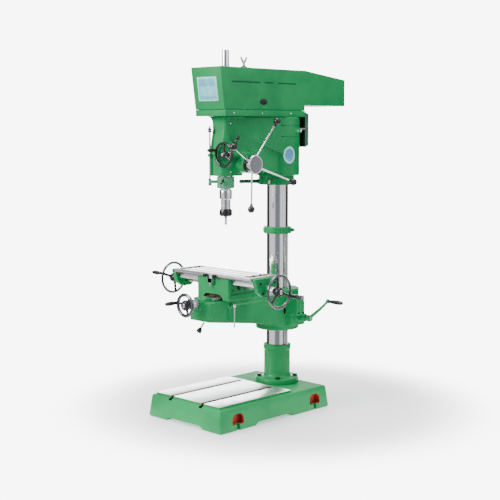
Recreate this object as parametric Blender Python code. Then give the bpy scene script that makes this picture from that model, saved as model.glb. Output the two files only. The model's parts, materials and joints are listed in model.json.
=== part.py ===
"""Round-column milling and drilling machine: a T-slotted base, a column with a lifting knee and a
compound table, and a swinging head with a quill, a stepped belt drive and its guard.

Metres, +Z up. The origin is on the floor under the column's axis; +X is the operator's right and
-Y is the operator's side. The machine rests with its quill up and its slides at mid travel.
"""

import math

import bmesh
import bpy
from mathutils import Vector

GAP = 0.0003  # between pieces that touch
RUNNING = 0.0005  # between pieces that slide or turn on each other

# Base casting
BASE_HALF_WIDTH = 0.290
BASE_FRONT = -0.735
BASE_REAR = 0.130
BASE_HEIGHT = 0.124
BASE_FLARE = 0.015
PAD_HALF_WIDTH = 0.250
PAD_FRONT = -0.705
PAD_REAR = -0.155
PAD_TOP = 0.136
SLOT_X = 0.120
ARCH_HEIGHT = 0.020
POCKET_PLACES = (-0.600, 0.010)

# Column, its flange and the floating rack
COLUMN_RADIUS = 0.0625
COLUMN_TOP = 1.600
FLANGE_RADIUS = 0.125
FLANGE_TOP = 0.155
SOCKET_RADIUS = 0.0757
SOCKET_TOP = 0.346
FLANGE_BOLT_CIRCLE = 0.104
COLLAR_BOTTOM = 0.988
COLLAR_TOP = 1.025

# Gear teeth share one size: the rack of the knee, and the rack of the quill
MODULE = 0.0025
TOOTH_PITCH = math.pi * MODULE
KNEE_PINION_TEETH = 14
KNEE_PITCH_LINE = 0.0740
KNEE_PINION_X = KNEE_PITCH_LINE + KNEE_PINION_TEETH * MODULE / 2
CRANK_Y = 0.026
CRANK_Z = 0.515
WORM_RADIUS = 0.0142
KNEE_WHEEL_RADIUS = 0.0280
KNEE_PINION_Z = CRANK_Z + WORM_RADIUS + KNEE_WHEEL_RADIUS + GAP

# Knee
HUB_RADIUS = 0.125
KNEE_BOTTOM = 0.440
KNEE_HUB_TOP = 0.674
ARM_HALF_WIDTH = 0.079
ARM_FRONT = -0.609
ARM_TOP = 0.655
WAY_TOP = 0.672
CROSS_SCREW_Z = 0.648
CROSS_WHEEL_Y = -0.715
EAR_FRONT = -0.060
EAR_RIGHT = 0.209
CRANK_ARM_X = 0.224
CRANK_REACH = 0.180

# Saddle and table
SADDLE_HALF_WIDTH = 0.1224
SADDLE_FRONT = -0.513
SADDLE_REAR = -0.300
SADDLE_TOP = 0.7815
TABLE_HALF_LENGTH = 0.300
TABLE_FRONT = -0.526
TABLE_REAR = -0.330
TABLE_MIDDLE = (TABLE_FRONT + TABLE_REAR) / 2
TABLE_UNDERSIDE = 0.7820
TABLE_TOP = 0.8040
TROUGH_DEPTH = 0.0045
END_TROUGH_DEPTH = 0.0100
TROUGH_END = 0.286
TABLE_SCREW_Z = 0.7330
TABLE_WHEEL_X = 0.4165

# Head
SPINDLE_Y = -0.4125
NOSE_HALF_WIDTH = 0.0575
NOSE_FRONT = -0.467
NOSE_BOTTOM = 1.327
FLARE_FRONT = -0.480
HEAD_BOTTOM = 1.320
HEAD_TOP = 1.648
QUILL_RADIUS = 0.0375
QUILL_BOTTOM = 1.258
QUILL_TOP = 1.530
FEED_PINION_TEETH = 16
QUILL_PITCH_LINE = SPINDLE_Y + QUILL_RADIUS - 0.0030
FEED_Y = QUILL_PITCH_LINE + FEED_PINION_TEETH * MODULE / 2
FEED_Z = 1.390
FEED_WHEEL_RADIUS = 0.0400
FEED_LEFT = -0.070
FEED_RIGHT = 0.126
FINE_X = 0.072
FINE_WORM_RADIUS = 0.0130
FINE_Z = FEED_Z + FEED_WHEEL_RADIUS + FINE_WORM_RADIUS + GAP
FINE_WHEEL_Y = -0.495
CAPSTAN_BALL_X = 0.238
CAPSTAN_BALL_REACH = 0.252
STOP_ROD_X = -0.041
STOP_ROD_Y = -0.492
ARM_BOTTOM = 1.2880
CLAMP_SCREW_TURN = math.radians(-62)
CLAMP_SCREW_Z = 1.298
CLAMP_EAR = 0.030
CLAMP_Y = -0.108
CLAMP_Z = 1.286

# Belt drive and guard
GUARD_HALF_WIDTH = 0.115
GUARD_WALL = 0.0025
GUARD_SEAM = 1.682
GUARD_TOP = 1.908
GUARD_STEP_Y = 0.103
GUARD_REAR_BOTTOM = 1.713
GUARD_REAR = 0.455
GUARD_REAR_TOP = 1.866
GUARD_FRONT_FOOT = -0.529
GUARD_FRONT_TOP = -0.561
IDLER_Y = -0.170
PULLEY_BOTTOM = 1.700
PULLEY_STEP = 0.032
PULLEY_RADII = (0.085, 0.070, 0.055)
PLATE_FRONT = 0.131

COLUMN_SIDES = 28  # the column and what fits on it
ROUND = 18  # sides of a large round shape
SMALL = 10  # sides of a small round shape


def clear_scene():
    for old in list(bpy.data.objects):
        bpy.data.objects.remove(old, do_unlink=True)


def principled(name, colour, roughness, metallic):
    made = bpy.data.materials.new(name)
    made.use_nodes = True
    shader = made.node_tree.nodes["Principled BSDF"]
    shader.inputs["Base Color"].default_value = (*colour, 1.0)
    shader.inputs["Roughness"].default_value = roughness
    shader.inputs["Metallic"].default_value = metallic
    return made


# Shapes. Each returns a bmesh in world coordinates.

AXES = {"X": (1, 2, 0), "Y": (0, 2, 1), "Z": (0, 1, 2)}


def prism(outline, axis, low, high):
    """An outline in the plane across the axis, as (y, z), (x, z) or (x, y), run from low to high."""
    first, second, along = AXES[axis]
    shape = bmesh.new()
    ends = []
    for level in (low, high):
        ring = []
        for a, b in outline:
            point = [0.0, 0.0, 0.0]
            point[first], point[second], point[along] = a, b, level
            ring.append(shape.verts.new(point))
        ends.append(ring)
    shape.faces.new(ends[0])
    shape.faces.new(ends[1])
    for i in range(len(outline)):
        j = (i + 1) % len(outline)
        shape.faces.new((ends[0][i], ends[0][j], ends[1][j], ends[1][i]))
    bmesh.ops.recalc_face_normals(shape, faces=shape.faces)
    return shape


def loft(rings):
    """A closed skin through rings of equally many points."""
    shape = bmesh.new()
    made = [[shape.verts.new(point) for point in ring] for ring in rings]
    shape.faces.new(made[0])
    shape.faces.new(made[-1])
    for lower, upper in zip(made, made[1:]):
        for i in range(len(lower)):
            j = (i + 1) % len(lower)
            shape.faces.new((lower[i], lower[j], upper[j], upper[i]))
    bmesh.ops.recalc_face_normals(shape, faces=shape.faces)
    return shape


def block(low, high):
    corners = [(low[0], low[1]), (high[0], low[1]), (high[0], high[1]), (low[0], high[1])]
    return prism(corners, "Z", low[2], high[2])


def turned(profile, start, direction, sides=ROUND):
    """A profile of (radius, distance) turned about the line from start along direction. A profile that
    begins and ends on the line is a solid bar; any other is a closed ring."""
    along = Vector(direction).normalized()
    across = along.orthogonal().normalized()
    third = along.cross(across)
    origin = Vector(start)
    solid = profile[0][0] == 0 and profile[-1][0] == 0
    shape = bmesh.new()
    rings = []
    for radius, distance in profile:
        centre = origin + along * distance
        if radius == 0:
            rings.append([shape.verts.new(centre)] * sides)
            continue
        ring = []
        for k in range(sides):
            angle = 2 * math.pi * k / sides
            ring.append(shape.verts.new(centre + (across * math.cos(angle) + third * math.sin(angle)) * radius))
        rings.append(ring)
    pairs = list(zip(rings, rings[1:]))
    if not solid:
        pairs.append((rings[-1], rings[0]))
    for lower, upper in pairs:
        for k in range(sides):
            j = (k + 1) % sides
            corners = list(dict.fromkeys((lower[k], lower[j], upper[j], upper[k])))
            if len(corners) > 2:
                shape.faces.new(corners)
    bmesh.ops.recalc_face_normals(shape, faces=shape.faces)
    return shape


def rod(start, end, radius, end_radius=None, sides=SMALL):
    length = (Vector(end) - Vector(start)).length
    last = radius if end_radius is None else end_radius
    profile = [(0, 0), (radius, 0), (last, length), (0, length)]
    return turned(profile, start, Vector(end) - Vector(start), sides)


def stepped_bore(steps, start, direction, sides=ROUND):
    """A cutter of coaxial bores, each given as (radius, from, to) along the line."""
    profile = [(0, steps[0][1])]
    for radius, low, high in steps:
        profile += [(radius, low), (radius, high)]
    profile.append((0, steps[-1][2]))
    return turned(profile, start, direction, sides)


def ball(centre, radius, sides=SMALL):
    half = sides // 2
    profile = []
    for k in range(half + 1):
        angle = math.pi * k / half
        reach = 0 if k in (0, half) else radius * math.sin(angle)
        profile.append((reach, -radius * math.cos(angle)))
    return turned(profile, centre, (0, 0, 1), sides)


def hoop(centre, direction, radius, thickness, sides=20, around=6):
    """A round-section ring: radius is the ring's own, thickness is the section's radius."""
    profile = []
    for k in range(around):
        angle = 2 * math.pi * k / around
        profile.append((radius + thickness * math.cos(angle), thickness * math.sin(angle)))
    return turned(profile, centre, direction, sides)


def gear_outline(centre, teeth, tip, root, turn=0.0):
    """Straight-flanked teeth about a centre; turn is the first tooth's angle from the first axis."""
    outline = []
    for k in range(teeth):
        middle = turn + 2 * math.pi * k / teeth
        for part, radius in ((-0.23, root), (-0.11, tip), (0.11, tip), (0.23, root)):
            angle = middle + part * 2 * math.pi / teeth
            outline.append((centre[0] + radius * math.cos(angle), centre[1] + radius * math.sin(angle)))
    return outline


def rack_outline(back, root, tip, low, high, tooth_at, foot=0.23, crest=0.11):
    """A toothed bar in (depth, height): the teeth point from root to tip, and one is at tooth_at.
    foot and crest are half a tooth's width there, in pitches."""
    first = math.ceil((low - tooth_at) / TOOTH_PITCH + foot)
    last = math.floor((high - tooth_at) / TOOTH_PITCH - foot)
    outline = [(back, low), (root, low)]
    for k in range(first, last + 1):
        middle = tooth_at + k * TOOTH_PITCH
        for part, depth in ((-foot, root), (-crest, tip), (crest, tip), (foot, root)):
            outline.append((depth, middle + part * TOOTH_PITCH))
    return outline + [(root, high), (back, high)]


# Objects

def plain_object(name, shape, at=(0.0, 0.0, 0.0)):
    bmesh.ops.translate(shape, verts=shape.verts, vec=-Vector(at))
    mesh = bpy.data.meshes.new(name)
    shape.to_mesh(mesh)
    shape.free()
    made = bpy.data.objects.new(name, mesh)
    made.location = at
    bpy.context.scene.collection.objects.link(made)
    return made


def boolean(target, shapes, operation):
    """Joins the shapes to the target, or cuts them from it, all in one step."""
    label = f"{target.name}_{operation.lower()}"
    group = bpy.data.collections.new(label)
    bpy.context.scene.collection.children.link(group)
    group.hide_render = True
    for k, shape in enumerate(shapes):
        helper = plain_object(f"{label}_{k + 1}", shape)
        bpy.context.scene.collection.objects.unlink(helper)
        group.objects.link(helper)
        helper.hide_render = True
        helper.display_type = "WIRE"
        helper.hide_set(True)
    modifier = target.modifiers.new(operation.title(), "BOOLEAN")
    modifier.operation = operation
    modifier.solver = "EXACT"
    modifier.operand_type = "COLLECTION"
    modifier.collection = group


def piece(name, finish, shape, add=(), cut=(), at=(0.0, 0.0, 0.0), bevel=0.0, sharp=35.0):
    """One sub-part: its first shape, shapes joined to it, then shapes cut from it. at is its origin."""
    made = plain_object(name, shape, at)
    made.data.materials.append(finish)
    if bevel:
        softened = made.modifiers.new("Edges", "BEVEL")
        softened.width = bevel
        softened.segments = 2
        softened.limit_method = "ANGLE"
        softened.angle_limit = math.radians(sharp)
    if add:
        boolean(made, add, "UNION")
    if cut:
        boolean(made, cut, "DIFFERENCE")
    made.data.shade_smooth()
    made.data.set_sharp_from_angle(angle=math.radians(sharp))
    return made


# Base and column

def build_base(green):
    def level(inset, height):
        return [
            (x * (BASE_HALF_WIDTH - inset), y + side * inset, height)
            for x, y, side in ((-1, BASE_FRONT, 1), (1, BASE_FRONT, 1), (1, BASE_REAR, -1),
                               (-1, BASE_REAR, -1))
        ]

    shape = bmesh.new()
    lower = [shape.verts.new(p) for p in level(0.0, 0.0)]
    upper = [shape.verts.new(p) for p in level(BASE_FLARE, BASE_HEIGHT)]
    shape.faces.new(lower)
    shape.faces.new(upper)
    for i in range(4):
        j = (i + 1) % 4
        shape.faces.new((lower[i], lower[j], upper[j], upper[i]))
    bmesh.ops.recalc_face_normals(shape, faces=shape.faces)

    pad = block((-PAD_HALF_WIDTH, PAD_FRONT, 0.10), (PAD_HALF_WIDTH, PAD_REAR, PAD_TOP))
    slot_end = PAD_REAR - 0.020
    cuts = []
    for x in (-SLOT_X, SLOT_X):
        tee = [(x - 0.007, 0.15), (x - 0.007, 0.124), (x - 0.012, 0.124), (x - 0.012, 0.112),
               (x + 0.012, 0.112), (x + 0.012, 0.124), (x + 0.007, 0.124), (x + 0.007, 0.15)]
        cuts.append(prism(tee, "Y", BASE_FRONT - 0.05, slot_end))
    # The underside: a hollow under the pad, and the arches between the four feet
    cuts.append(block((-0.235, -0.690, -0.05), (0.235, -0.205, 0.090)))
    arch = [(-0.150, -0.05), (-0.150, -0.001), (-0.128, ARCH_HEIGHT), (0.128, ARCH_HEIGHT), (0.150, -0.001),
            (0.150, -0.05)]
    cuts.append(prism(arch, "Y", -0.80, -0.40))
    side_arch = [(-0.475, -0.05), (-0.475, -0.001), (-0.453, ARCH_HEIGHT), (-0.192, ARCH_HEIGHT),
                 (-0.170, -0.001), (-0.170, -0.05)]
    cuts.append(prism(side_arch, "X", -0.40, 0.40))
    for y in POCKET_PLACES:
        for side in (-1, 1):
            near, far = sorted((side * 0.248, side * 0.340))
            pocket = [(y - 0.042, 0.034), (y + 0.042, 0.034), (y + 0.042, 0.070), (y + 0.026, 0.090),
                      (y - 0.026, 0.090), (y - 0.042, 0.070)]
            cuts.append(prism(pocket, "X", near, far))
            near, far = sorted((side * 0.262, side * 0.340))
            cuts.append(block((near, y - 0.011, -0.05), (far, y + 0.011, 0.05)))
    for x, y in flange_bolt_places():
        cuts.append(rod((x, y, 0.095), (x, y, 0.20), 0.0075))
    return piece("base", green, shape, add=[pad], cut=cuts, bevel=0.006, sharp=50)


def flange_bolt_places():
    return [
        (FLANGE_BOLT_CIRCLE * math.cos(math.radians(a)), FLANGE_BOLT_CIRCLE * math.sin(math.radians(a)))
        for a in (45, 135, 225, 315)
    ]


def build_column(green, chrome, steel):
    bore = COLUMN_RADIUS + GAP
    floor = BASE_HEIGHT + GAP
    profile = [
        (bore, floor), (FLANGE_RADIUS, floor), (FLANGE_RADIUS, FLANGE_TOP - 0.005), (FLANGE_RADIUS - 0.005,
                                                                                     FLANGE_TOP),
        (0.0895, FLANGE_TOP), (0.0800, 0.160), (SOCKET_RADIUS, 0.172), (SOCKET_RADIUS, 0.316), (0.0790,
                                                                                                0.319),
        (0.0790, SOCKET_TOP - 0.003), (0.0760, SOCKET_TOP), (bore, SOCKET_TOP),
    ]
    holes = [rod((x, y, 0.10), (x, y, 0.20), 0.0075) for x, y in flange_bolt_places()]
    piece("column_flange", green, turned(profile, (0, 0, 0), (0, 0, 1), COLUMN_SIDES), cut=holes)

    wall = [(0.047, floor), (COLUMN_RADIUS, floor), (COLUMN_RADIUS, COLUMN_TOP), (0.047, COLUMN_TOP)]
    piece("column", chrome, turned(wall, (0, 0, 0), (0, 0, 1), COLUMN_SIDES))

    ring = [(bore, COLLAR_BOTTOM), (0.080, COLLAR_BOTTOM), (0.080, COLLAR_TOP - 0.003), (0.077, COLLAR_TOP),
            (bore, COLLAR_TOP)]
    lug_way = Vector((math.cos(math.radians(35)), math.sin(math.radians(35)), 0))
    middle = Vector((0, 0, (COLLAR_BOTTOM + COLLAR_TOP) / 2))
    lug = rod(middle + lug_way * 0.068, middle + lug_way * 0.094, 0.011)
    piece("rack_collar", green, turned(ring, (0, 0, 0), (0, 0, 1), COLUMN_SIDES), add=[lug])

    outline = rack_outline(0.0640, KNEE_PITCH_LINE - 0.0028, KNEE_PITCH_LINE + 0.0024,
                           SOCKET_TOP + RUNNING, COLLAR_BOTTOM - RUNNING, KNEE_PINION_Z + TOOTH_PITCH / 2)
    piece("knee_rack", steel, prism(outline, "Y", -0.012, 0.012))


# Knee with its lifting gear

def build_knee(green, steel, black):
    hub = turned(
        [(COLUMN_RADIUS + RUNNING, KNEE_BOTTOM), (HUB_RADIUS - 0.004, KNEE_BOTTOM),
         (HUB_RADIUS, KNEE_BOTTOM + 0.004),
         (HUB_RADIUS, KNEE_HUB_TOP - 0.004), (HUB_RADIUS - 0.004, KNEE_HUB_TOP), (COLUMN_RADIUS + RUNNING,
                                                                                  KNEE_HUB_TOP)],
        (0, 0, 0), (0, 0, 1), COLUMN_SIDES)
    arm = prism([(ARM_FRONT, 0.550), (-0.085, 0.477), (-0.085, ARM_TOP), (ARM_FRONT, ARM_TOP)], "X",
                -ARM_HALF_WIDTH, ARM_HALF_WIDTH)
    ways = prism([(-0.052, 0.640), (-0.052, ARM_TOP), (-0.060, WAY_TOP), (0.060, WAY_TOP), (0.052, ARM_TOP),
                  (0.052, 0.640)],
                 "Y", -0.565, -0.145)
    nose_block = block((-0.045, ARM_FRONT - 0.004, 0.600), (0.045, -0.568, CROSS_SCREW_Z + 0.030))
    screw_boss = rod((0, ARM_FRONT - 0.022, CROSS_SCREW_Z), (0, -0.590, CROSS_SCREW_Z), 0.034, sides=16)
    ear = block((0.070, EAR_FRONT, 0.536), (EAR_RIGHT, 0.002, 0.646))
    gear_box = block((0.070, -0.050, 0.468), (0.155, 0.066, 0.602))
    crank_boss = rod((0.120, CRANK_Y, CRANK_Z), (CRANK_ARM_X - 0.028, CRANK_Y, CRANK_Z), 0.024, sides=16)
    channel = block((-0.017, -0.575, 0.622), (0.017, -0.185, 0.700))
    cuts = [
        rod((0, 0, 0.40), (0, 0, 0.72), COLUMN_RADIUS + RUNNING, sides=COLUMN_SIDES),
        block((0.030, -0.0135, 0.40), (KNEE_PITCH_LINE + 0.0035, 0.0135, 0.72)),
        stepped_bore([(0.0086, -0.080, -0.0145), (0.0225, -0.0145, 0.0148), (0.0300, 0.0148, 0.0380),
                      (0.0086, 0.0380, 0.058)],
                     (KNEE_PINION_X, 0, KNEE_PINION_Z), (0, 1, 0)),
        stepped_bore([(0.0155, 0.060, 0.120), (0.0105, 0.120, 0.300)], (0, CRANK_Y, CRANK_Z), (1, 0, 0)),
        channel,
        rod((0, -0.70, CROSS_SCREW_Z), (0, -0.50, CROSS_SCREW_Z), 0.0095),
    ]
    piece("knee", green, arm, add=[hub, ways, nose_block, screw_boss, ear, gear_box, crank_boss], cut=cuts)

    shaft_end = CRANK_ARM_X + 0.014
    worm = [(0, 0.064), (0.009, 0.064), (0.009, 0.074)]
    for k in range(4):
        start = 0.076 + k * 0.0078
        worm += [(0.0118, start), (WORM_RADIUS, start + 0.0018), (WORM_RADIUS, start + 0.0036),
                 (0.0118, start + 0.0054)]
    worm += [(0.0118, 0.108), (0.0100, 0.110), (0.0100, shaft_end), (0, shaft_end)]
    piece("crank_worm_shaft", steel, turned(worm, (0, CRANK_Y, CRANK_Z), (1, 0, 0), 16),
          at=(0, CRANK_Y, CRANK_Z))

    lean = math.radians(26)
    way = Vector((0, math.cos(lean), math.sin(lean)))
    middle = Vector((CRANK_ARM_X, CRANK_Y, CRANK_Z))
    tip = middle + way * CRANK_REACH
    arm_hub = turned([(0.0103, -0.014), (0.019, -0.014), (0.019, 0.013), (0.0103, 0.013)], middle,
                     (1, 0, 0), 16)
    bar = rod(middle + way * 0.013, tip, 0.010, 0.007)
    eye = rod(tip - Vector((0.009, 0, 0)), tip + Vector((0.009, 0, 0)), 0.012)
    pin = rod(tip, tip + Vector((0.112, 0, 0)), 0.0045, sides=12)
    piece("crank_arm", green, arm_hub, add=[bar, eye, pin], at=middle)
    grip = turned([(0.0050, 0.010), (0.0085, 0.010), (0.0120, 0.030), (0.0125, 0.074), (0.0105, 0.106),
                   (0.0050, 0.110)],
                  tip, (1, 0, 0), SMALL)
    piece("crank_grip", black, grip, at=tip)

    teeth = gear_outline((KNEE_PINION_X, KNEE_PINION_Z), KNEE_PINION_TEETH,
                         KNEE_PINION_TEETH * MODULE / 2 + 0.0022, KNEE_PINION_TEETH * MODULE / 2 - 0.0028, math.pi)
    wheel = gear_outline((KNEE_PINION_X, KNEE_PINION_Z), 24, KNEE_WHEEL_RADIUS, KNEE_WHEEL_RADIUS - 0.0035)
    piece("lift_pinion", steel, prism(teeth, "Y", -0.0125, 0.0160),
          add=[prism(wheel, "Y", 0.0156, 0.0360),
               rod((KNEE_PINION_X, -0.058, KNEE_PINION_Z), (KNEE_PINION_X, 0.056, KNEE_PINION_Z), 0.0080)],
          at=(KNEE_PINION_X, 0, KNEE_PINION_Z))


# Handwheels

def handwheel(name, finish, centre, outward, radius, hub_radius, bore, spoke_turn, grip_turn, rim=0.0085):
    """A dished three-spoke wheel whose hub stands in from the rim; returns where its grip's pin is."""
    out = Vector(outward)
    middle = Vector(centre)
    across = Vector((0, 0, 1))
    third = out.cross(across)

    def spot(turn, reach, along=0.0):
        return middle + (across * math.cos(turn) + third * math.sin(turn)) * reach + out * along

    ring = radius - rim
    hub = turned([(bore, -0.026), (hub_radius, -0.026), (hub_radius, 0.008), (hub_radius * 0.8, 0.014),
                  (bore, 0.014)],
                 middle, out, 16)
    spokes = [
        rod(spot(spoke_turn + k * 2 * math.pi / 3, hub_radius * 0.75, -0.006),
            spot(spoke_turn + k * 2 * math.pi / 3, ring), 0.0085, 0.0065, 12)
        for k in range(3)
    ]
    pin_foot = spot(grip_turn, ring)
    pin = rod(pin_foot, pin_foot + out * 0.094, 0.0040, sides=12)
    piece(name, finish, hoop(middle, out, ring, rim), add=[*spokes, hub, pin], at=centre)
    return pin_foot


def grip(name, finish, foot, outward, length=0.078, radius=0.011):
    profile = [(0.0045, 0.011), (radius * 0.7, 0.011), (radius, 0.030), (radius, length * 0.75),
               (radius * 0.8, length + 0.008), (0.0045, length + 0.012)]
    piece(name, finish, turned(profile, foot, outward, SMALL), at=foot)


# Saddle and table

def build_saddle(green, bronze):
    body = block((-SADDLE_HALF_WIDTH, SADDLE_FRONT, ARM_TOP + 0.0015),
                 (SADDLE_HALF_WIDTH, SADDLE_REAR, SADDLE_TOP))
    apron_arch = prism([(-0.078, 0.60), (-0.078, 0.668), (-0.058, 0.690), (0.058, 0.690), (0.078, 0.668),
                        (0.078, 0.60)],
                       "Y", SADDLE_FRONT - 0.02, SADDLE_FRONT + 0.022)
    knee_way = prism([(-0.0530, 0.60), (-0.0530, ARM_TOP), (-0.0612, WAY_TOP + 0.001),
                      (0.0612, WAY_TOP + 0.001), (0.0530, ARM_TOP), (0.0530, 0.60)],
                     "Y", SADDLE_FRONT - 0.02, SADDLE_REAR + 0.02)
    table_way = prism([(TABLE_MIDDLE - 0.052, 0.80), (TABLE_MIDDLE - 0.052, SADDLE_TOP),
                       (TABLE_MIDDLE - 0.062, 0.7480),
                       (TABLE_MIDDLE + 0.062, 0.7480), (TABLE_MIDDLE + 0.052,
                                                        SADDLE_TOP), (TABLE_MIDDLE + 0.052,
                                                                      0.80)], "X", -0.2, 0.2)
    screw_way = block((-0.2, TABLE_MIDDLE - 0.014, TABLE_SCREW_Z - 0.014),
                      (0.2, TABLE_MIDDLE + 0.014, 0.760))
    nut_seat = block((-0.0205, TABLE_MIDDLE - 0.0205, TABLE_SCREW_Z - 0.0225),
                     (0.0205, TABLE_MIDDLE + 0.0205, 0.760))
    cross_seat = block((-0.0165, -0.4505, 0.60), (0.0165, -0.4095, 0.7050))
    piece("saddle", green, body, cut=[apron_arch, knee_way, table_way, screw_way, nut_seat, cross_seat],
          bevel=0.004, sharp=50)

    nut = block((-0.0200, TABLE_MIDDLE - 0.0200, TABLE_SCREW_Z - 0.0220),
                (0.0200, TABLE_MIDDLE + 0.0200, 0.7470))
    piece("table_nut", bronze, nut, cut=[rod((-0.1, TABLE_MIDDLE, TABLE_SCREW_Z),
                                             (0.1, TABLE_MIDDLE, TABLE_SCREW_Z), 0.0112)])
    cross = block((-0.0160, -0.4500, 0.6260), (0.0160, -0.4100, 0.7045))
    piece("cross_nut", bronze, cross, cut=[rod((0, -0.60, CROSS_SCREW_Z), (0, -0.30, CROSS_SCREW_Z),
                                               0.0095)])


def build_table(silver, green):
    slab = block((-TABLE_HALF_LENGTH, TABLE_FRONT, TABLE_UNDERSIDE),
                 (TABLE_HALF_LENGTH, TABLE_REAR, TABLE_TOP))
    tail = prism([(TABLE_MIDDLE - 0.050, TABLE_UNDERSIDE + 0.006), (TABLE_MIDDLE - 0.0505, SADDLE_TOP),
                  (TABLE_MIDDLE - 0.0600, 0.7495),
                  (TABLE_MIDDLE + 0.0600, 0.7495), (TABLE_MIDDLE + 0.0505,
                                                    SADDLE_TOP), (TABLE_MIDDLE + 0.050,
                                                                  TABLE_UNDERSIDE + 0.006)],
                 "X", -TABLE_HALF_LENGTH + 0.004, TABLE_HALF_LENGTH - 0.004)
    cuts = []
    above = TABLE_TOP + 0.01
    neck = TABLE_TOP - 0.0085
    floor = TABLE_TOP - 0.0160
    for k in (-1, 0, 1):
        y = TABLE_MIDDLE + k * 0.055
        tee = [(y - 0.006, above), (y - 0.006, neck), (y - 0.010, neck), (y - 0.010, floor),
               (y + 0.010, floor), (y + 0.010, neck), (y + 0.006, neck), (y + 0.006, above)]
        cuts.append(prism(tee, "X", -TROUGH_END + 0.005, TROUGH_END - 0.005))
    # The coolant troughs round the working face; the slots run out into the wide ones at the ends
    front, rear = TABLE_FRONT + 0.010, TABLE_REAR - 0.010
    for low, high in ((front, front + 0.008), (rear - 0.008, rear)):
        cuts.append(block((-TROUGH_END, low, TABLE_TOP - TROUGH_DEPTH), (TROUGH_END, high, above)))
    for side in (-1, 1):
        near, far = sorted((side * 0.234, side * (TROUGH_END + 0.0003)))
        cuts.append(block((near, front - 0.0003, TABLE_TOP - END_TROUGH_DEPTH),
                          (far, rear + 0.0003, above)))
    piece("table", silver, slab, add=[tail], cut=cuts)

    for side, name in ((-1, "left_bracket"), (1, "right_bracket")):
        near, far = sorted((side * (TABLE_HALF_LENGTH + GAP), side * (TABLE_HALF_LENGTH + 0.030)))
        plate = prism([(TABLE_FRONT + 0.006, 0.7980), (TABLE_REAR - 0.006, 0.7980),
                       (TABLE_REAR - 0.030, 0.7250), (TABLE_MIDDLE + 0.032, 0.6980),
                       (TABLE_MIDDLE - 0.032, 0.6980), (TABLE_FRONT + 0.030, 0.7250)], "X", near, far)
        start = (side * (TABLE_HALF_LENGTH + 0.010), TABLE_MIDDLE, TABLE_SCREW_Z)
        end = (side * (TABLE_HALF_LENGTH + 0.048), TABLE_MIDDLE, TABLE_SCREW_Z)
        hole = rod((side * 0.28, TABLE_MIDDLE, TABLE_SCREW_Z), (side * 0.40, TABLE_MIDDLE, TABLE_SCREW_Z),
                   0.0112)
        piece(name, green, plate, add=[rod(start, end, 0.026, sides=16)], cut=[hole])


def build_table_drive(steel, black):
    axis = (0, TABLE_MIDDLE, TABLE_SCREW_Z)
    end = TABLE_WHEEL_X + 0.013
    bar = [(0, -end), (0.0085, -end), (0.0085, -0.352), (0.0100, -0.350), (0.0100, 0.350), (0.0085, 0.352),
           (0.0085, end), (0, end)]
    piece("table_screw", steel, turned(bar, axis, (1, 0, 0)), at=axis)
    turns = {-1: (50, 290), 1: (10, 250)}
    for side, name in ((-1, "left"), (1, "right")):
        centre = (side * TABLE_WHEEL_X, TABLE_MIDDLE, TABLE_SCREW_Z)
        spoke_turn, grip_turn = (math.radians(turn) for turn in turns[side])
        foot = handwheel(f"{name}_handwheel", black, centre, (side, 0, 0), 0.0925, 0.026, 0.0088,
                         spoke_turn, grip_turn, rim=0.0075)
        grip(f"{name}_grip", black, foot, (side, 0, 0))


def build_cross_drive(steel, chrome, black):
    axis = (0, CROSS_WHEEL_Y, CROSS_SCREW_Z)
    bar = [(0, -0.013), (0.0080, -0.013), (0.0080, 0.080), (0.0090, 0.082), (0.0090, 0.505), (0, 0.505)]
    piece("cross_screw", steel, turned(bar, axis, (0, 1, 0)), at=axis)
    foot = handwheel("cross_handwheel", chrome, axis, (0, -1, 0), 0.066, 0.028, 0.0083, math.radians(80),
                     math.radians(80), rim=0.0095)
    grip("cross_grip", black, foot, (0, -1, 0))


def build_knee_levers(chrome, black):
    foot = Vector((ARM_HALF_WIDTH + GAP, -0.450, 0.628))
    out = foot + Vector((0.024, 0, 0))
    stem = rod(foot, out, 0.009)
    handle = rod(out - Vector((0.006, 0, 0)), out + Vector((0.010, -0.010, -0.120)), 0.0045, 0.0035, 12)
    piece("saddle_lock_lever", chrome, stem, add=[ball(out, 0.0115), handle], at=foot)

    foot = Vector((-0.020, -0.560, 0.538))
    screw = rod(foot + Vector((0, 0, -0.0035)), foot + Vector((0, -0.028, -0.035)), 0.0055, sides=12)
    knob = ball(foot + Vector((0, -0.033, -0.041)), 0.0165)
    piece("arm_lock_lever", black, knob, add=[screw], at=foot)


# Head

def head_shoulder():
    """The upper body under the guard: as narrow as the nose in front, wide at the column, its underside
    falling towards the column."""
    top = HEAD_TOP - GAP
    front, rear = -0.462, -0.050
    slim, wide = 0.052, 0.112
    low_front, low_rear = 1.586, 1.430
    lower = [(-slim, front, low_front), (slim, front, low_front), (wide, rear, low_rear),
             (-wide, rear, low_rear)]
    return loft([lower, [(x, y, top) for x, y, _ in lower]])


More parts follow.
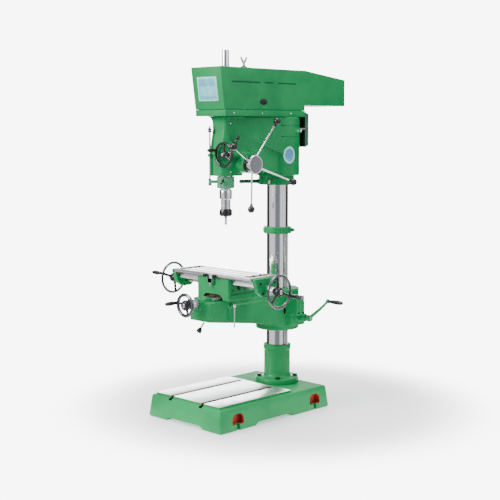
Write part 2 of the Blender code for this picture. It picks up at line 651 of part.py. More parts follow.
def head_nose():
    """The spindle housing: it spreads towards its foot on the left and in front, and curves outward at
    its top to meet the belt guard's tray."""
    rear = -0.340
    plain = [(-0.0450, NOSE_FRONT), (0.0450, NOSE_FRONT), (NOSE_HALF_WIDTH, NOSE_FRONT + 0.016),
             (NOSE_HALF_WIDTH + 0.004, rear), (-NOSE_HALF_WIDTH - 0.004, rear), (-NOSE_HALF_WIDTH,
                                                                                 NOSE_FRONT + 0.016)]
    foot = [(-0.0540, FLARE_FRONT), (0.0340, FLARE_FRONT), (NOSE_HALF_WIDTH, -0.445),
            (NOSE_HALF_WIDTH + 0.004, rear), (-0.0680, rear), (-0.0675, FLARE_FRONT + 0.016)]
    rings = [[(x, y, z) for x, y in foot] for z in (NOSE_BOTTOM, 1.460)]
    rings.append([(x, y, 1.576) for x, y in plain])
    for z, spread in ((1.610, 0.0), (1.628, 0.003), (1.638, 0.008), (1.644, 0.015),
                      (HEAD_TOP - GAP, 0.022)):
        ring = []
        for x, y in plain:
            forward = spread if y < rear else 0.0
            ring.append((x + math.copysign(spread * 0.8, x), y - forward, z))
        rings.append(ring)
    return loft(rings)


def build_head(green):
    bore = QUILL_RADIUS + RUNNING
    web = prism([(-0.0620, -0.400), (0.0620, -0.400), (0.0884, -0.060), (-0.0884, -0.060)], "Z", 1.341,
                1.620)
    hub = turned([(0, HEAD_BOTTOM), (HUB_RADIUS - 0.004, HEAD_BOTTOM), (HUB_RADIUS, HEAD_BOTTOM + 0.004),
                  (HUB_RADIUS, HEAD_TOP - 0.002), (0, HEAD_TOP - 0.002)],
                 (0, 0, 0), (0, 0, 1), COLUMN_SIDES)
    clamp = rod((0, 0, 1.266), (0, 0, 1.330), 0.095, sides=COLUMN_SIDES)
    shoulder = head_shoulder()
    feed_boss = rod((FEED_LEFT, FEED_Y, FEED_Z), (FEED_RIGHT, FEED_Y, FEED_Z), 0.0475, sides=ROUND)
    fine_boss = rod((FINE_X, -0.310, FINE_Z), (FINE_X, -0.462, FINE_Z), 0.0185, sides=16)
    lever_boss = rod((0.050, -0.420, 1.500), (0.067, -0.420, 1.500), 0.014)
    stop_lug = block((STOP_ROD_X - 0.010, STOP_ROD_Y - 0.010, 1.430),
                     (STOP_ROD_X + 0.010, FLARE_FRONT + 0.020, 1.448))
    clamp_ears = block((-CLAMP_EAR, -0.127, 1.268), (CLAMP_EAR, -0.075, 1.330))
    slit = block((-0.0025, -0.200, 1.20), (0.0025, -0.050, 1.318))
    cuts = [
        stepped_bore([(0.0130, -0.200, -0.0145), (0.0235, -0.0145, 0.0145), (0.0130, 0.0145, 0.0615),
                      (0.0415, 0.0615, 0.200)],
                     (0, FEED_Y, FEED_Z), (1, 0, 0)),
        stepped_bore([(bore, 1.200, 1.545), (0.0240, 1.545, 1.6055), (0.0350, 1.6055, 1.70)],
                     (0, SPINDLE_Y, 0), (0, 0, 1)),
        rod((0, 0, 1.20), (0, 0, COLUMN_TOP + GAP), COLUMN_RADIUS + RUNNING, sides=COLUMN_SIDES),
        stepped_bore([(0.0141, 0.325, 0.400), (0.0088, 0.400, 0.500)], (FINE_X, 0, FINE_Z), (0, -1, 0)),
        rod((STOP_ROD_X, STOP_ROD_Y, 1.40), (STOP_ROD_X, STOP_ROD_Y, 1.50), 0.0055, sides=12),
        rod((0, IDLER_Y, 1.600), (0, IDLER_Y, 1.700), 0.0103, sides=SMALL),
        slit,
        rod((-0.10, CLAMP_Y, CLAMP_Z), (0.10, CLAMP_Y, CLAMP_Z), 0.0066),
    ]
    for x in (-0.085, 0.085):
        cuts.append(rod((x, 0.020, 1.580), (x, 0.160, 1.580), 0.0085))
    parts = [web, hub, clamp, clamp_ears, shoulder, feed_boss, fine_boss, lever_boss, stop_lug]
    piece("head", green, head_nose(), add=parts, cut=cuts)


def build_quill(steel, green, black):
    axis = (0, SPINDLE_Y, 0)
    body = turned([(0.0262, QUILL_BOTTOM), (QUILL_RADIUS, QUILL_BOTTOM), (QUILL_RADIUS, QUILL_TOP),
                   (0.0262, QUILL_TOP),
                   (0.0262, 1.508), (0.0190, 1.507), (0.0190, 1.281), (0.0262, 1.280)], axis, (0, 0, 1))
    # The rack's gaps are cut as one comb, whose teeth reach in from behind the quill
    comb = rack_outline(SPINDLE_Y + 0.060, QUILL_PITCH_LINE + 0.0024, QUILL_PITCH_LINE - 0.0028, 1.372,
                        1.540, FEED_Z, 0.36, 0.22)
    piece("quill", steel, body, cut=[prism(comb, "X", -0.0125, 0.0125)], at=axis)

    inner = QUILL_RADIUS + GAP
    collar = turned([(inner, 1.2600), (0.0450, 1.2600), (0.0480, 1.2640), (0.0480, NOSE_BOTTOM - 0.0030),
                     (inner, NOSE_BOTTOM - 0.0030)],
                    axis, (0, 0, 1))
    arm = prism([(-0.0420, -0.4300), (-0.0160, -0.4560), (STOP_ROD_X + 0.0110, STOP_ROD_Y - 0.0020),
                 (STOP_ROD_X, STOP_ROD_Y - 0.0110),
                 (STOP_ROD_X - 0.0110, STOP_ROD_Y - 0.0020)], "Z", ARM_BOTTOM, ARM_BOTTOM + 0.0160)
    clamp_way = Vector((math.cos(CLAMP_SCREW_TURN), math.sin(CLAMP_SCREW_TURN), 0))
    seat = Vector((0, SPINDLE_Y, CLAMP_SCREW_Z))
    cuts = [rod((STOP_ROD_X, STOP_ROD_Y, 1.25), (STOP_ROD_X, STOP_ROD_Y, 1.35), 0.0053, sides=12),
            rod(seat + clamp_way * 0.030, seat + clamp_way * 0.070, 0.0055, sides=12)]
    piece("depth_stop_arm", green, collar, add=[arm], cut=cuts, at=axis)

    low, high = ARM_BOTTOM - GAP, ARM_BOTTOM + 0.0160 + GAP
    profile = [(0, low - 0.0130), (0.0090, low - 0.0130), (0.0090, low), (0.0050, low), (0.0050, high),
               (0.0090, high), (0.0090, high + 0.0080), (0.0050, high + 0.0080),
               (0.0050, 1.562), (0.0105, 1.562), (0.0105, 1.572), (0.0085, 1.573), (0.0105, 1.574), (0.0105,
                                                                                                     1.584), (0.0050, 1.584), (0.0050, 1.596), (0, 1.596)]
    stop_axis = (STOP_ROD_X, STOP_ROD_Y, 0)
    piece("depth_stop_rod", steel, turned(profile, stop_axis, (0, 0, 1), 12), at=stop_axis)

    stem = rod(seat + clamp_way * 0.0385, seat + clamp_way * 0.066, 0.0050, sides=12)
    side = clamp_way.cross(Vector((0, 0, 1)))
    lean = Vector((0, 0, 0.866)) + side * -0.500
    middle = seat + clamp_way * 0.066
    knob = rod(middle - lean * 0.0170, middle + lean * 0.0170, 0.0070, sides=12)
    piece("collar_clamp_screw", black, stem, add=[knob], at=seat)


def build_spindle(steel, chrome, black):
    axis = (0, SPINDLE_Y, 0)
    shaft = [(0, 1.198), (0.0290, 1.198), (0.0350, 1.208), (0.0350, 1.2480), (0.0250, 1.2570),
             (0.0150, 1.2572), (0.0150, 1.5250),
             (0.0125, 1.5270), (0.0125, 1.9550), (0, 1.9550)]
    piece("spindle", steel, turned(shaft, axis, (0, 0, 1)), at=axis)
    for name, low in (("spindle_bearing_lower", 1.2630), ("spindle_bearing_upper", 1.5090)):
        high = low + 0.0145
        race = [(0.0153, low), (0.0258, low), (0.0258, high), (0.0215, high), (0.0210, high - 0.002),
                (0.0195, high - 0.002), (0.0190, high), (0.0153, high)]
        piece(name, steel, turned(race, axis, (0, 0, 1)), at=axis)
    chuck = [(0.0088, 1.1300), (0.0225, 1.1300), (0.0225, 1.1460), (0.0267, 1.1463), (0.0267, 1.1977),
             (0.0088, 1.1977)]
    piece("collet_chuck", chrome, turned(chuck, axis, (0, 0, 1)), at=axis)
    nut = [(0.0120, 1.1080), (0.0320, 1.1080), (0.0350, 1.1110), (0.0350, 1.1430), (0.0330, 1.1457),
           (0.0228, 1.1457), (0.0228, 1.1290), (0.0120, 1.1290)]
    notches = []
    for k in range(6):
        way = Vector((math.cos(k * math.pi / 3), math.sin(k * math.pi / 3), 0))
        notches.append(rod(Vector((0, SPINDLE_Y, 1.10)) + way * 0.0365,
                           Vector((0, SPINDLE_Y, 1.13)) + way * 0.0365, 0.0045, sides=8))
    piece("collet_nut", black, turned(nut, axis, (0, 0, 1)), cut=notches, at=axis)
    mill = [(0, 1.060), (0.0085, 1.060), (0.0085, 1.1970), (0, 1.1970)]
    piece("end_mill", steel, turned(mill, axis, (0, 0, 1), SMALL), at=axis)


def build_feed(green, steel, chrome, black):
    axis = (0, FEED_Y, FEED_Z)
    teeth = gear_outline((FEED_Y, FEED_Z), FEED_PINION_TEETH, FEED_PINION_TEETH * MODULE / 2 + 0.0022,
                         FEED_PINION_TEETH * MODULE / 2 - 0.0028, math.pi)
    wheel = gear_outline((FEED_Y, FEED_Z), 32, FEED_WHEEL_RADIUS, FEED_WHEEL_RADIUS - 0.0035)
    shaft = rod((-0.102, FEED_Y, FEED_Z), (0.1790, FEED_Y, FEED_Z), 0.0120)
    piece("feed_pinion", steel, prism(teeth, "X", -0.0125, 0.0125),
          add=[shaft, prism(wheel, "X", 0.0640, 0.0810)], at=axis)

    cover = [(0.0125, FEED_RIGHT + GAP), (0.0475, FEED_RIGHT + GAP), (0.0475, 0.1330), (0.0430, 0.1380),
             (0.0125, 0.1380)]
    piece("feed_cover", black, turned(cover, axis, (1, 0, 0)), at=axis)

    near, far = FEED_LEFT - GAP, FEED_LEFT - 0.036
    cup = [(0.0130, near), (0.0410, near), (0.0410, far + 0.003), (0.0380, far), (0.0130, far),
           (0.0130, far + 0.0028), (0.0385, far + 0.0028), (0.0385, near - 0.0035), (0.0130, near - 0.0035)]
    piece("return_spring_case", green, turned(cup, axis, (1, 0, 0)), at=axis)
    turns, steps = 4.0, 64
    inner, outer, strip = 0.0150, 0.0370, 0.0008
    spiral = []
    for offset, order in ((strip, range(steps + 1)), (-strip, range(steps, -1, -1))):
        for k in order:
            share = k / steps
            angle = 2 * math.pi * turns * share
            radius = inner + (outer - inner) * share + offset
            spiral.append((FEED_Y + radius * math.cos(angle), FEED_Z + radius * math.sin(angle)))
    piece("return_spring", steel, prism(spiral, "X", far + 0.006, near - 0.007), at=axis)

    sleeve = [(0.0123, 0.1390), (0.0240, 0.1390), (0.0240, 0.1490), (0.0440, 0.1500), (0.0530, 0.1530),
              (0.0530, 0.1760), (0.0510, 0.1800), (0.0123, 0.1800)]
    hub = turned(sleeve, axis, (1, 0, 0))
    holes = []
    spokes = []
    for k in range(4):
        angle = math.radians(67 + 90 * k)
        way = Vector((0, math.cos(angle), math.sin(angle)))
        foot = Vector((0.1590, FEED_Y, FEED_Z)) + way * 0.030
        tip = Vector((CAPSTAN_BALL_X, FEED_Y, FEED_Z)) + way * CAPSTAN_BALL_REACH
        spokes.append((foot, tip))
        holes.append(rod(foot, foot + (tip - foot) * 0.3, 0.0053, sides=12))
    piece("capstan_hub", chrome, hub, cut=holes, at=axis)
    for k, (foot, tip) in enumerate(spokes):
        line = (tip - foot).normalized()
        piece(f"capstan_handle_{k + 1}", chrome, rod(foot + line * GAP, tip, 0.0050, sides=12),
              add=[ball(tip, 0.0195)], at=axis)


def build_fine_feed(steel, black):
    axis = (FINE_X, 0, FINE_Z)
    worm = [(0, 0.330), (0.0070, 0.330)]
    for k in range(4):
        start = 0.336 + k * 0.0078
        worm += [(0.0105, start), (FINE_WORM_RADIUS, start + 0.0018), (FINE_WORM_RADIUS, start + 0.0036),
                 (0.0105, start + 0.0054)]
    worm += [(0.0105, 0.374), (0.0080, 0.376), (0.0080, 0.506), (0, 0.506)]
    piece("fine_worm_shaft", steel, turned(worm, axis, (0, -1, 0), 16), at=axis)
    centre = (FINE_X, FINE_WHEEL_Y, FINE_Z)
    hub = turned([(0.0083, -0.030), (0.0150, -0.030), (0.0190, -0.010), (0.0190, 0.008), (0.0150, 0.012),
                  (0.0083, 0.012)], centre, (0, -1, 0), 16)
    spokes = []
    for k in range(3):
        angle = math.radians(90 + 120 * k)
        tip = Vector(centre) + Vector((math.cos(angle), 0, math.sin(angle))) * 0.0625
        foot = Vector(centre) + Vector((math.cos(angle), 0, math.sin(angle))) * 0.014
        spokes.append(rod(foot, tip, 0.0065, 0.0055, 12))
    handle_way = math.radians(158)
    foot = Vector(centre) + Vector((math.cos(handle_way), 0, math.sin(handle_way))) * 0.0625
    handle = turned([(0, 0), (0.0045, 0), (0.0045, 0.010), (0.0075, 0.014), (0.0095, 0.040),
                     (0.0080, 0.062), (0, 0.066)], foot, (0, -1, 0), 12)
    piece("fine_handwheel", black, hoop(centre, (0, -1, 0), 0.0625, 0.0075), add=[*spokes, hub, handle],
          at=centre)


def build_head_levers(green, black):
    foot = Vector((0.067 + GAP, -0.420, 1.500))
    boss = rod(foot, foot + Vector((0.018, 0, 0)), 0.011)
    middle = foot + Vector((0.012, 0, 0))
    tip = middle + Vector((0.010, 0.012, 0.034))
    piece("feed_selector_lever", black, boss, add=[rod(middle, tip, 0.0050, 0.0060, 12),
                                                   ball(tip, 0.0105, 12)], at=foot)

    middle = Vector((-CLAMP_EAR - 0.014, CLAMP_Y, CLAMP_Z))
    boss = rod((-CLAMP_EAR - 0.024, CLAMP_Y, CLAMP_Z), (-CLAMP_EAR - GAP, CLAMP_Y, CLAMP_Z), 0.0140)
    bolt = rod(middle, (CLAMP_EAR + 0.010, CLAMP_Y, CLAMP_Z), 0.0060)
    nut = rod((CLAMP_EAR + GAP, CLAMP_Y, CLAMP_Z), (CLAMP_EAR + 0.011, CLAMP_Y, CLAMP_Z), 0.0110, sides=6)
    tip = middle + Vector((0, -0.145, 0.004))
    bar = rod(middle + Vector((0, -0.006, 0)), tip, 0.0115, 0.0105)
    piece("head_clamp_lever", green, boss, add=[bolt, nut, bar, ball(tip, 0.0115, 12)], at=middle)


def pulley(name, finish, centre_y, radii, bore, add=()):
    """A stepped V-belt pulley, its first step lowest."""
    profile = [(bore, PULLEY_BOTTOM)]
    for k, radius in enumerate(radii):
        low = PULLEY_BOTTOM + k * PULLEY_STEP
        profile += [(radius, low), (radius, low + 0.006), (radius - 0.009, low + 0.0125),
                    (radius - 0.009, low + 0.0175), (radius, low + 0.024), (radius, low + 0.030)]
    profile.append((bore, profile[-1][1]))
    piece(name, finish, turned(profile, (0, centre_y, 0), (0, 0, 1)), add=add, at=(0, centre_y, 0))


def build_drive(silver, steel, rubber):
    axis = (0, SPINDLE_Y, 0)
    low = 1.6060
    race = [(0.0208, low), (0.0344, low), (0.0344, low + 0.018), (0.0300, low + 0.018),
            (0.0295, low + 0.016), (0.0260, low + 0.016), (0.0255, low + 0.018), (0.0208, low + 0.018)]
    piece("drive_bearing", steel, turned(race, axis, (0, 0, 1)), at=axis)
    sleeve = turned([(0.0130, 1.5600), (0.0200, 1.5600), (0.0200, 1.7970), (0.0130, 1.7970)], axis,
                    (0, 0, 1))
    pulley("spindle_pulley", silver, SPINDLE_Y, PULLEY_RADII, 0.0150, [sleeve])
    pulley("idler_pulley", silver, IDLER_Y, PULLEY_RADII[::-1], 0.0103)
    post = [(0, 1.6010), (0.0100, 1.6010), (0.0100, 1.8200), (0, 1.8200)]
    piece("idler_shaft", steel, turned(post, (0, IDLER_Y, 0), (0, 0, 1), SMALL), at=(0, IDLER_Y, 0))

    # A V-belt on the middle steps, of equal size, so its runs are straight and parallel
    middle = PULLEY_BOTTOM + PULLEY_STEP + 0.015
    inside = PULLEY_RADII[1] - 0.0080

    def loop(reach):
        points = []
        for centre, start in ((IDLER_Y, 0.0), (SPINDLE_Y, math.pi)):
            for k in range(17):
                angle = start + math.pi * k / 16
                points.append((reach * math.cos(angle), centre + reach * math.sin(angle)))
        return points

    shape = bmesh.new()
    rings = []
    for reach, height in ((inside, middle - 0.0020), (inside + 0.0078, middle - 0.0075),
                          (inside + 0.0078, middle + 0.0075), (inside, middle + 0.0020)):
        rings.append([shape.verts.new((x, y, height)) for x, y in loop(reach)])
    for k in range(4):
        near, far = rings[k], rings[(k + 1) % 4]
        for i in range(len(near)):
            j = (i + 1) % len(near)
            shape.faces.new((near[i], near[j], far[j], far[i]))
    bmesh.ops.recalc_face_normals(shape, faces=shape.faces)
    piece("drive_belt", rubber, shape)


def build_guard(green, chrome, steel):
    inner = GUARD_HALF_WIDTH - GUARD_WALL
    wall = GUARD_WALL
    lip = GUARD_SEAM + GAP
    slant = (GUARD_FRONT_TOP - GUARD_FRONT_FOOT) / (GUARD_TOP - lip)
    below = lip - 0.050
    outline = [(GUARD_FRONT_FOOT, lip), (GUARD_FRONT_TOP, GUARD_TOP), (0.110, GUARD_TOP),
               (GUARD_REAR, GUARD_REAR_TOP),
               (GUARD_REAR, GUARD_REAR_BOTTOM), (GUARD_STEP_Y, GUARD_REAR_BOTTOM), (GUARD_STEP_Y, lip)]
    hollow = [(GUARD_FRONT_FOOT + slant * (below - lip) + wall, below),
              (GUARD_FRONT_TOP + wall, GUARD_TOP - wall),
              (0.110, GUARD_TOP - wall), (GUARD_REAR - wall, GUARD_REAR_TOP - wall),
              (GUARD_REAR - wall, GUARD_REAR_BOTTOM + wall), (GUARD_STEP_Y - wall,
                                                              GUARD_REAR_BOTTOM + wall), (GUARD_STEP_Y - wall, below)]
    stud = (0, -0.273)
    cuts = [
        prism(hollow, "X", -inner, inner),
        rod((0, SPINDLE_Y, 1.85), (0, SPINDLE_Y, 1.95), 0.0165, sides=16),
        rod((*stud, 1.85), (*stud, 1.95), 0.0050, sides=12),
        block((-0.085, 0.160, GUARD_REAR_BOTTOM - 0.02), (0.085, 0.400, GUARD_REAR_BOTTOM + 0.02)),
    ]
    piece("guard_cover", green, prism(outline, "X", -GUARD_HALF_WIDTH, GUARD_HALF_WIDTH), cut=cuts)

    tray_outline = [(-0.524, HEAD_TOP), (GUARD_STEP_Y + 0.002, HEAD_TOP),
                    (GUARD_STEP_Y + 0.002, GUARD_SEAM), (-0.527, GUARD_SEAM)]
    pan = block((-inner, -0.520, HEAD_TOP + 0.003), (inner, GUARD_STEP_Y - 0.002, 1.75))
    tray_cuts = [pan, rod((0, SPINDLE_Y, 1.60), (0, SPINDLE_Y, 1.70), 0.0365, sides=ROUND),
                 rod((0, IDLER_Y, 1.60), (0, IDLER_Y, 1.70), 0.0108)]
    post = rod((*stud, HEAD_TOP + 0.001), (*stud, 1.700), 0.0100)
    socket = rod((*stud, 1.660), (*stud, 1.720), 0.0048, sides=12)
    tray = prism(tray_outline, "X", -GUARD_HALF_WIDTH - 0.0015, GUARD_HALF_WIDTH + 0.0015)
    made = piece("guard_tray", green, tray, cut=tray_cuts)
    boolean(made, [post], "UNION")
    boolean(made, [socket], "DIFFERENCE")

    top = GUARD_TOP
    tube = [(0.0166, top + GAP), (0.0200, top + GAP), (0.0200, 2.0000), (0.0180, 2.0030), (0, 2.0030),
            (0, 1.9990), (0.0166, 1.9990)]
    shell = turned([(r, z) for r, z in tube if r], (0, SPINDLE_Y, 0), (0, 0, 1), 16)
    lid = turned([(0, 1.9980), (0.0175, 1.9980), (0.0175, 2.0030), (0, 2.0030)], (0, SPINDLE_Y, 0),
                 (0, 0, 1), 16)
    piece("spindle_tube", chrome, shell, add=[lid], at=(0, SPINDLE_Y, 0))

    boss = turned([(0, GUARD_TOP), (0.0240, GUARD_TOP), (0.0200, GUARD_TOP + 0.010),
                   (0.0120, GUARD_TOP + 0.015), (0, GUARD_TOP + 0.016)], (*stud, 0), (0, 0, 1), SMALL)
    stem = rod((*stud, 1.672), (*stud, 1.940), 0.0042, sides=12)
    wings = []
    for side in (-1, 1):
        wings.append(prism([(stud[1] - side * 0.003, 1.926), (stud[1] + side * 0.014, 1.944),
                            (stud[1] + side * 0.026, 1.968), (stud[1] + side * 0.021, 1.976),
                            (stud[1] + side * 0.012, 1.962), (stud[1] - side * 0.003,
                                                              1.942)], "X", -0.0030, 0.0030))
    piece("guard_wing_screw", steel, boss, add=[stem, *wings], at=(*stud, 0))


def build_motor_plate(green):
    plate = block((-0.092, PLATE_FRONT, 1.478), (0.092, PLATE_FRONT + 0.016, 1.675))
    ribs = [block((x - 0.004, PLATE_FRONT + 0.010, 1.484),
                  (x + 0.004, PLATE_FRONT + 0.034, 1.669)) for x in (-0.084, 0.084)]
    rods = [rod((x, 0.030, 1.580), (x, PLATE_FRONT + 0.006, 1.580), 0.0080) for x in (-0.085, 0.085)]
    slots = []
    for x in (-0.050, 0.050):
        for z in (1.520, 1.630):
            slots.append(rod((x, 0.10, z), (x, 0.20, z), 0.0060, sides=12))
    piece("motor_plate", green, plate, add=[*ribs, *rods], cut=slots)


def main():
    clear_scene()
    bpy.context.scene.unit_settings.system = "METRIC"
    green = principled("enamel_green", (0.045, 0.270, 0.125), 0.38, 0.0)
    chrome = principled("chrome_plate", (0.80, 0.81, 0.82), 0.08, 1.0)
    steel = principled("machined_steel", (0.52, 0.53, 0.54), 0.30, 1.0)
    silver = principled("ground_iron", (0.60, 0.61, 0.62), 0.35, 0.9)
    black = principled("black_plastic", (0.012, 0.012, 0.013), 0.30, 0.0)
    bronze = principled("bronze", (0.55, 0.36, 0.15), 0.35, 1.0)
    rubber = principled("belt_rubber", (0.015, 0.015, 0.015), 0.75, 0.0)
    build_base(green)
    build_column(green, chrome, steel)
    build_knee(green, steel, black)
    build_saddle(green, bronze)
    build_table(silver, green)
    build_table_drive(steel, black)
    build_cross_drive(steel, chrome, black)
    build_knee_levers(chrome, black)
    build_head(green)
    build_quill(steel, green, black)
    build_spindle(steel, chrome, black)
    build_feed(green, steel, chrome, black)
    build_fine_feed(steel, black)
    build_head_levers(green, black)
    build_drive(silver, steel, rubber)
    build_guard(green, chrome, steel)
    build_motor_plate(green)


main()
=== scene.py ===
"""Looks of the round-column milling and drilling machine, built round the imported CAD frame.

Metres, +Z up, -Y towards the operator. Castings are remeshed so that their corners and joins come out
rounded; turned, ground and sheet-metal pieces keep crisp edges.
"""

import json
import math

import bmesh
import bpy
from mathutils import Matrix, Vector


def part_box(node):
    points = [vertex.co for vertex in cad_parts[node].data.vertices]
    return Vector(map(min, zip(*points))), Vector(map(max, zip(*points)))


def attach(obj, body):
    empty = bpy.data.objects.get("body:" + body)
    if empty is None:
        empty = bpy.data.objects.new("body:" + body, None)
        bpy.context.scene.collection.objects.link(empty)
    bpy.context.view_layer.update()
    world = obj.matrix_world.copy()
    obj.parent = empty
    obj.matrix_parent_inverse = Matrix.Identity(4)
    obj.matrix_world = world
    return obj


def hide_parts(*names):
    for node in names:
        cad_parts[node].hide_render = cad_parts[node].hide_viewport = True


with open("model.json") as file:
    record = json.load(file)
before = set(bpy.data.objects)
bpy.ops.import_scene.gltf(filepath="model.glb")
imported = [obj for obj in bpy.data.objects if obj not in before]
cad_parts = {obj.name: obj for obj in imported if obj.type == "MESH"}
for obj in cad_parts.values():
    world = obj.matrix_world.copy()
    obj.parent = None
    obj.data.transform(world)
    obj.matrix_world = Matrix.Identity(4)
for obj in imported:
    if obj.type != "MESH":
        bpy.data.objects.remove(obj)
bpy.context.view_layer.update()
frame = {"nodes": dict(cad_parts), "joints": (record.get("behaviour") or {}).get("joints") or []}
JOINT = {joint["name"]: Vector(joint["pos_m"]) for joint in frame["joints"] if "pos_m" in joint}
AXIS = {joint["name"]: Vector(joint["axis"]) for joint in frame["joints"] if "axis" in joint}
# Which coordinates an outline's two numbers are, and then its axis
AXES = {"X": (1, 2, 0), "Y": (0, 2, 1), "Z": (0, 1, 2)}
UP = Vector((0, 0, 1))
RIGHT = Vector((1, 0, 0))
BACK = Vector((0, 1, 0))

# Sizes that several pieces share, in metres
CLEAR = 0.0006  # round a shaft or a slide
POCKET_PLACES = (-0.600, 0.010)  # Y of the anchor pockets
BASE_SLOT_X = 0.120
ARM_HALF_WIDTH = 0.079
ARM_FRONT = -0.609
ARM_TOP = 0.655
EAR_RIGHT = 0.209
TABLE_SLOT_SPACING = 0.055
TABLE_TROUGH_END = 0.286
TOOTH_PITCH = math.pi * 0.0025
HEAD_BOTTOM = 1.320
HEAD_HUB_RADIUS = 0.125
HUB_LUG_TURNS = tuple(math.radians(turn) for turn in (12, 40, 140, 168))
HUB_LUG_HEIGHT = 1.570
RADIAL_SIDES = 120  # sides of the head's large round shapes
CAPSTAN_BALL = (0.238, 0.252)  # X, and distance from the shaft
PULLEY_STEP = 0.032
PULLEY_RADII = (0.085, 0.070, 0.055)
GUARD_WALL = 0.0025
GUARD_STEP = 0.103  # Y of the guard's rear step
PLATE_FRONT = 0.131
PLATE_BOLTS = [(x, z) for x in (-0.050, 0.050) for z in (1.520, 1.630)]
PLATE_ROD_X = 0.085
PLATE_ROD_HEIGHT = 1.580


# Materials

class Surface:
    """A procedural material and the few node patterns that all of them are made of."""

    def __init__(self, name, metallic, **constants):
        self.material = bpy.data.materials.new(name)
        self.material.use_nodes = True
        self.nodes = self.material.node_tree.nodes
        self.shader = self.nodes["Principled BSDF"]
        self.shader.inputs["Metallic"].default_value = metallic
        for socket, value in constants.items():
            self.shader.inputs[socket.replace("_", " ")].default_value = value
        self.place = self.add("ShaderNodeTexCoord").outputs["Object"]

    def add(self, kind, settings=None, **sockets):
        node = self.nodes.new(kind)
        for name, value in (settings or {}).items():
            setattr(node, name, value)
        for name, value in sockets.items():
            self.feed(value, node.inputs[int(name[1:]) if name[0] == "i" and name[1:].isdigit() else name])
        return node

    def feed(self, value, socket):
        if isinstance(value, bpy.types.NodeSocket):
            self.material.node_tree.links.new(value, socket)
        else:
            socket.default_value = value

    def noise(self, scale, detail=4.0, stretch=(1, 1, 1)):
        place = self.add("ShaderNodeMapping", Vector=self.place, Scale=stretch).outputs[0]
        return self.add("ShaderNodeTexNoise", Vector=place, Scale=scale, Detail=detail).outputs[0]

    def spread(self, value, low, high, to_low=0.0, to_high=1.0):
        settings = {"interpolation_type": "SMOOTHSTEP"}
        node = self.add("ShaderNodeMapRange", settings, Value=value, i1=low, i2=high, i3=to_low, i4=to_high)
        return node.outputs[0]

    def math(self, operation, first, second):
        settings = {"operation": operation, "use_clamp": True}
        return self.add("ShaderNodeMath", settings, i0=first, i1=second).outputs[0]

    def mix(self, share, first, second):
        colours = [(*c, 1.0) if isinstance(c, tuple) else c for c in (first, second)]
        node = self.add("ShaderNodeMix", {"data_type": "RGBA"}, i0=share)
        self.feed(colours[0], node.inputs[6])
        self.feed(colours[1], node.inputs[7])
        return node.outputs[2]

    def edges(self, radius):
        """Near 1 on convex and concave edges, 0 on open surface; also gives the rounded normal."""
        rounded = self.add("ShaderNodeBevel", {"samples": 4}, Radius=radius).outputs[0]
        true = self.add("ShaderNodeNewGeometry").outputs["Normal"]
        dot = self.add("ShaderNodeVectorMath", {"operation": "DOT_PRODUCT"}, i0=rounded, i1=true)
        return self.spread(dot.outputs["Value"], 0.985, 0.80), rounded

    def bump(self, height, strength, distance, normal=None):
        node = self.add("ShaderNodeBump", Strength=strength, Distance=distance, Height=height)
        if normal is not None:
            self.feed(normal, node.inputs["Normal"])
        return node.outputs[0]

    def finish(self, colour, roughness, normal):
        self.feed(colour, self.shader.inputs["Base Color"])
        self.feed(roughness, self.shader.inputs["Roughness"])
        self.feed(normal, self.shader.inputs["Normal"])
        return self.material


def shade(colour, factor):
    return tuple(min(1.0, channel * factor) for channel in colour)


def enamel(name, colour, cast=1.0, wear=0.55):
    """Machine enamel on cast iron: slightly uneven under the paint, lightened along every edge as a painted
    highlight, rubbed at its edges, and dulled by dust where it faces up."""
    s = Surface(name, 0.0, Coat_Weight=0.04, Coat_Roughness=0.12, Specular_IOR_Level=0.20)
    broad = s.noise(5.0, 3.0)
    body = s.mix(s.spread(broad, 0.35, 0.65), shade(colour, 0.88), shade(colour, 1.10))
    specks = s.spread(s.noise(180.0, 2.0), 0.66, 0.74)
    body = s.mix(s.math("MULTIPLY", specks, 0.35), body, shade(colour, 0.55))
    dust = s.spread(s.noise(22.0, 5.0), 0.50, 0.80)
    edge, rounded = s.edges(0.0022)
    rub = s.math("MULTIPLY", edge, s.spread(s.noise(60.0, 6.0), 0.52, 0.66))
    # Every edge, convex or concave, is lightened evenly: a painted highlight.
    body = s.mix(s.math("MULTIPLY", edge, 0.22), body, shade(colour, 1.7))
    body = s.mix(s.math("MULTIPLY", rub, wear), body, (0.10, 0.11, 0.10))
    normal = s.add("ShaderNodeNewGeometry").outputs["Normal"]
    upward = s.add("ShaderNodeSeparateXYZ", Vector=normal).outputs[2]
    dulled = s.spread(upward, 0.80, 0.97, 0.0, 0.92)
    rough = s.math("MAXIMUM", s.spread(dust, 0.0, 1.0, 0.30, 0.46), dulled)
    normal = s.bump(s.noise(420.0, 2.0), 0.10, 0.0006, rounded)
    normal = s.bump(s.noise(34.0, 4.0), 0.20 * cast, 0.0030, normal)
    return s.finish(body, rough, normal)


def metal(name, colour, smooth, rough, grain=(1, 1, 1), stain=(0.10, 0.07, 0.05), stained=0.25,
    scratch=0.10):
    """Bare metal: grain is stretched along the tool marks, and a little oil or rust stains it."""
    s = Surface(name, 1.0)
    marks = s.noise(260.0, 5.0, grain)
    blotch = s.noise(14.0, 5.0)
    edge, rounded = s.edges(0.0008)
    body = s.mix(s.spread(marks, 0.30, 0.70), shade(colour, 0.90), shade(colour, 1.06))
    body = s.mix(s.math("MULTIPLY", s.spread(blotch, 0.54, 0.72), stained), body, stain)
    # Edges are lightened evenly: a painted highlight.
    body = s.mix(s.math("MULTIPLY", edge, 0.35), body, shade(colour, 1.25))
    mixed = s.math("ADD", s.math("MULTIPLY", marks, 0.6), s.math("MULTIPLY", blotch, 0.4))
    return s.finish(body, s.spread(mixed, 0.30, 0.70, smooth, rough),
        s.bump(marks, scratch, 0.0004, rounded))


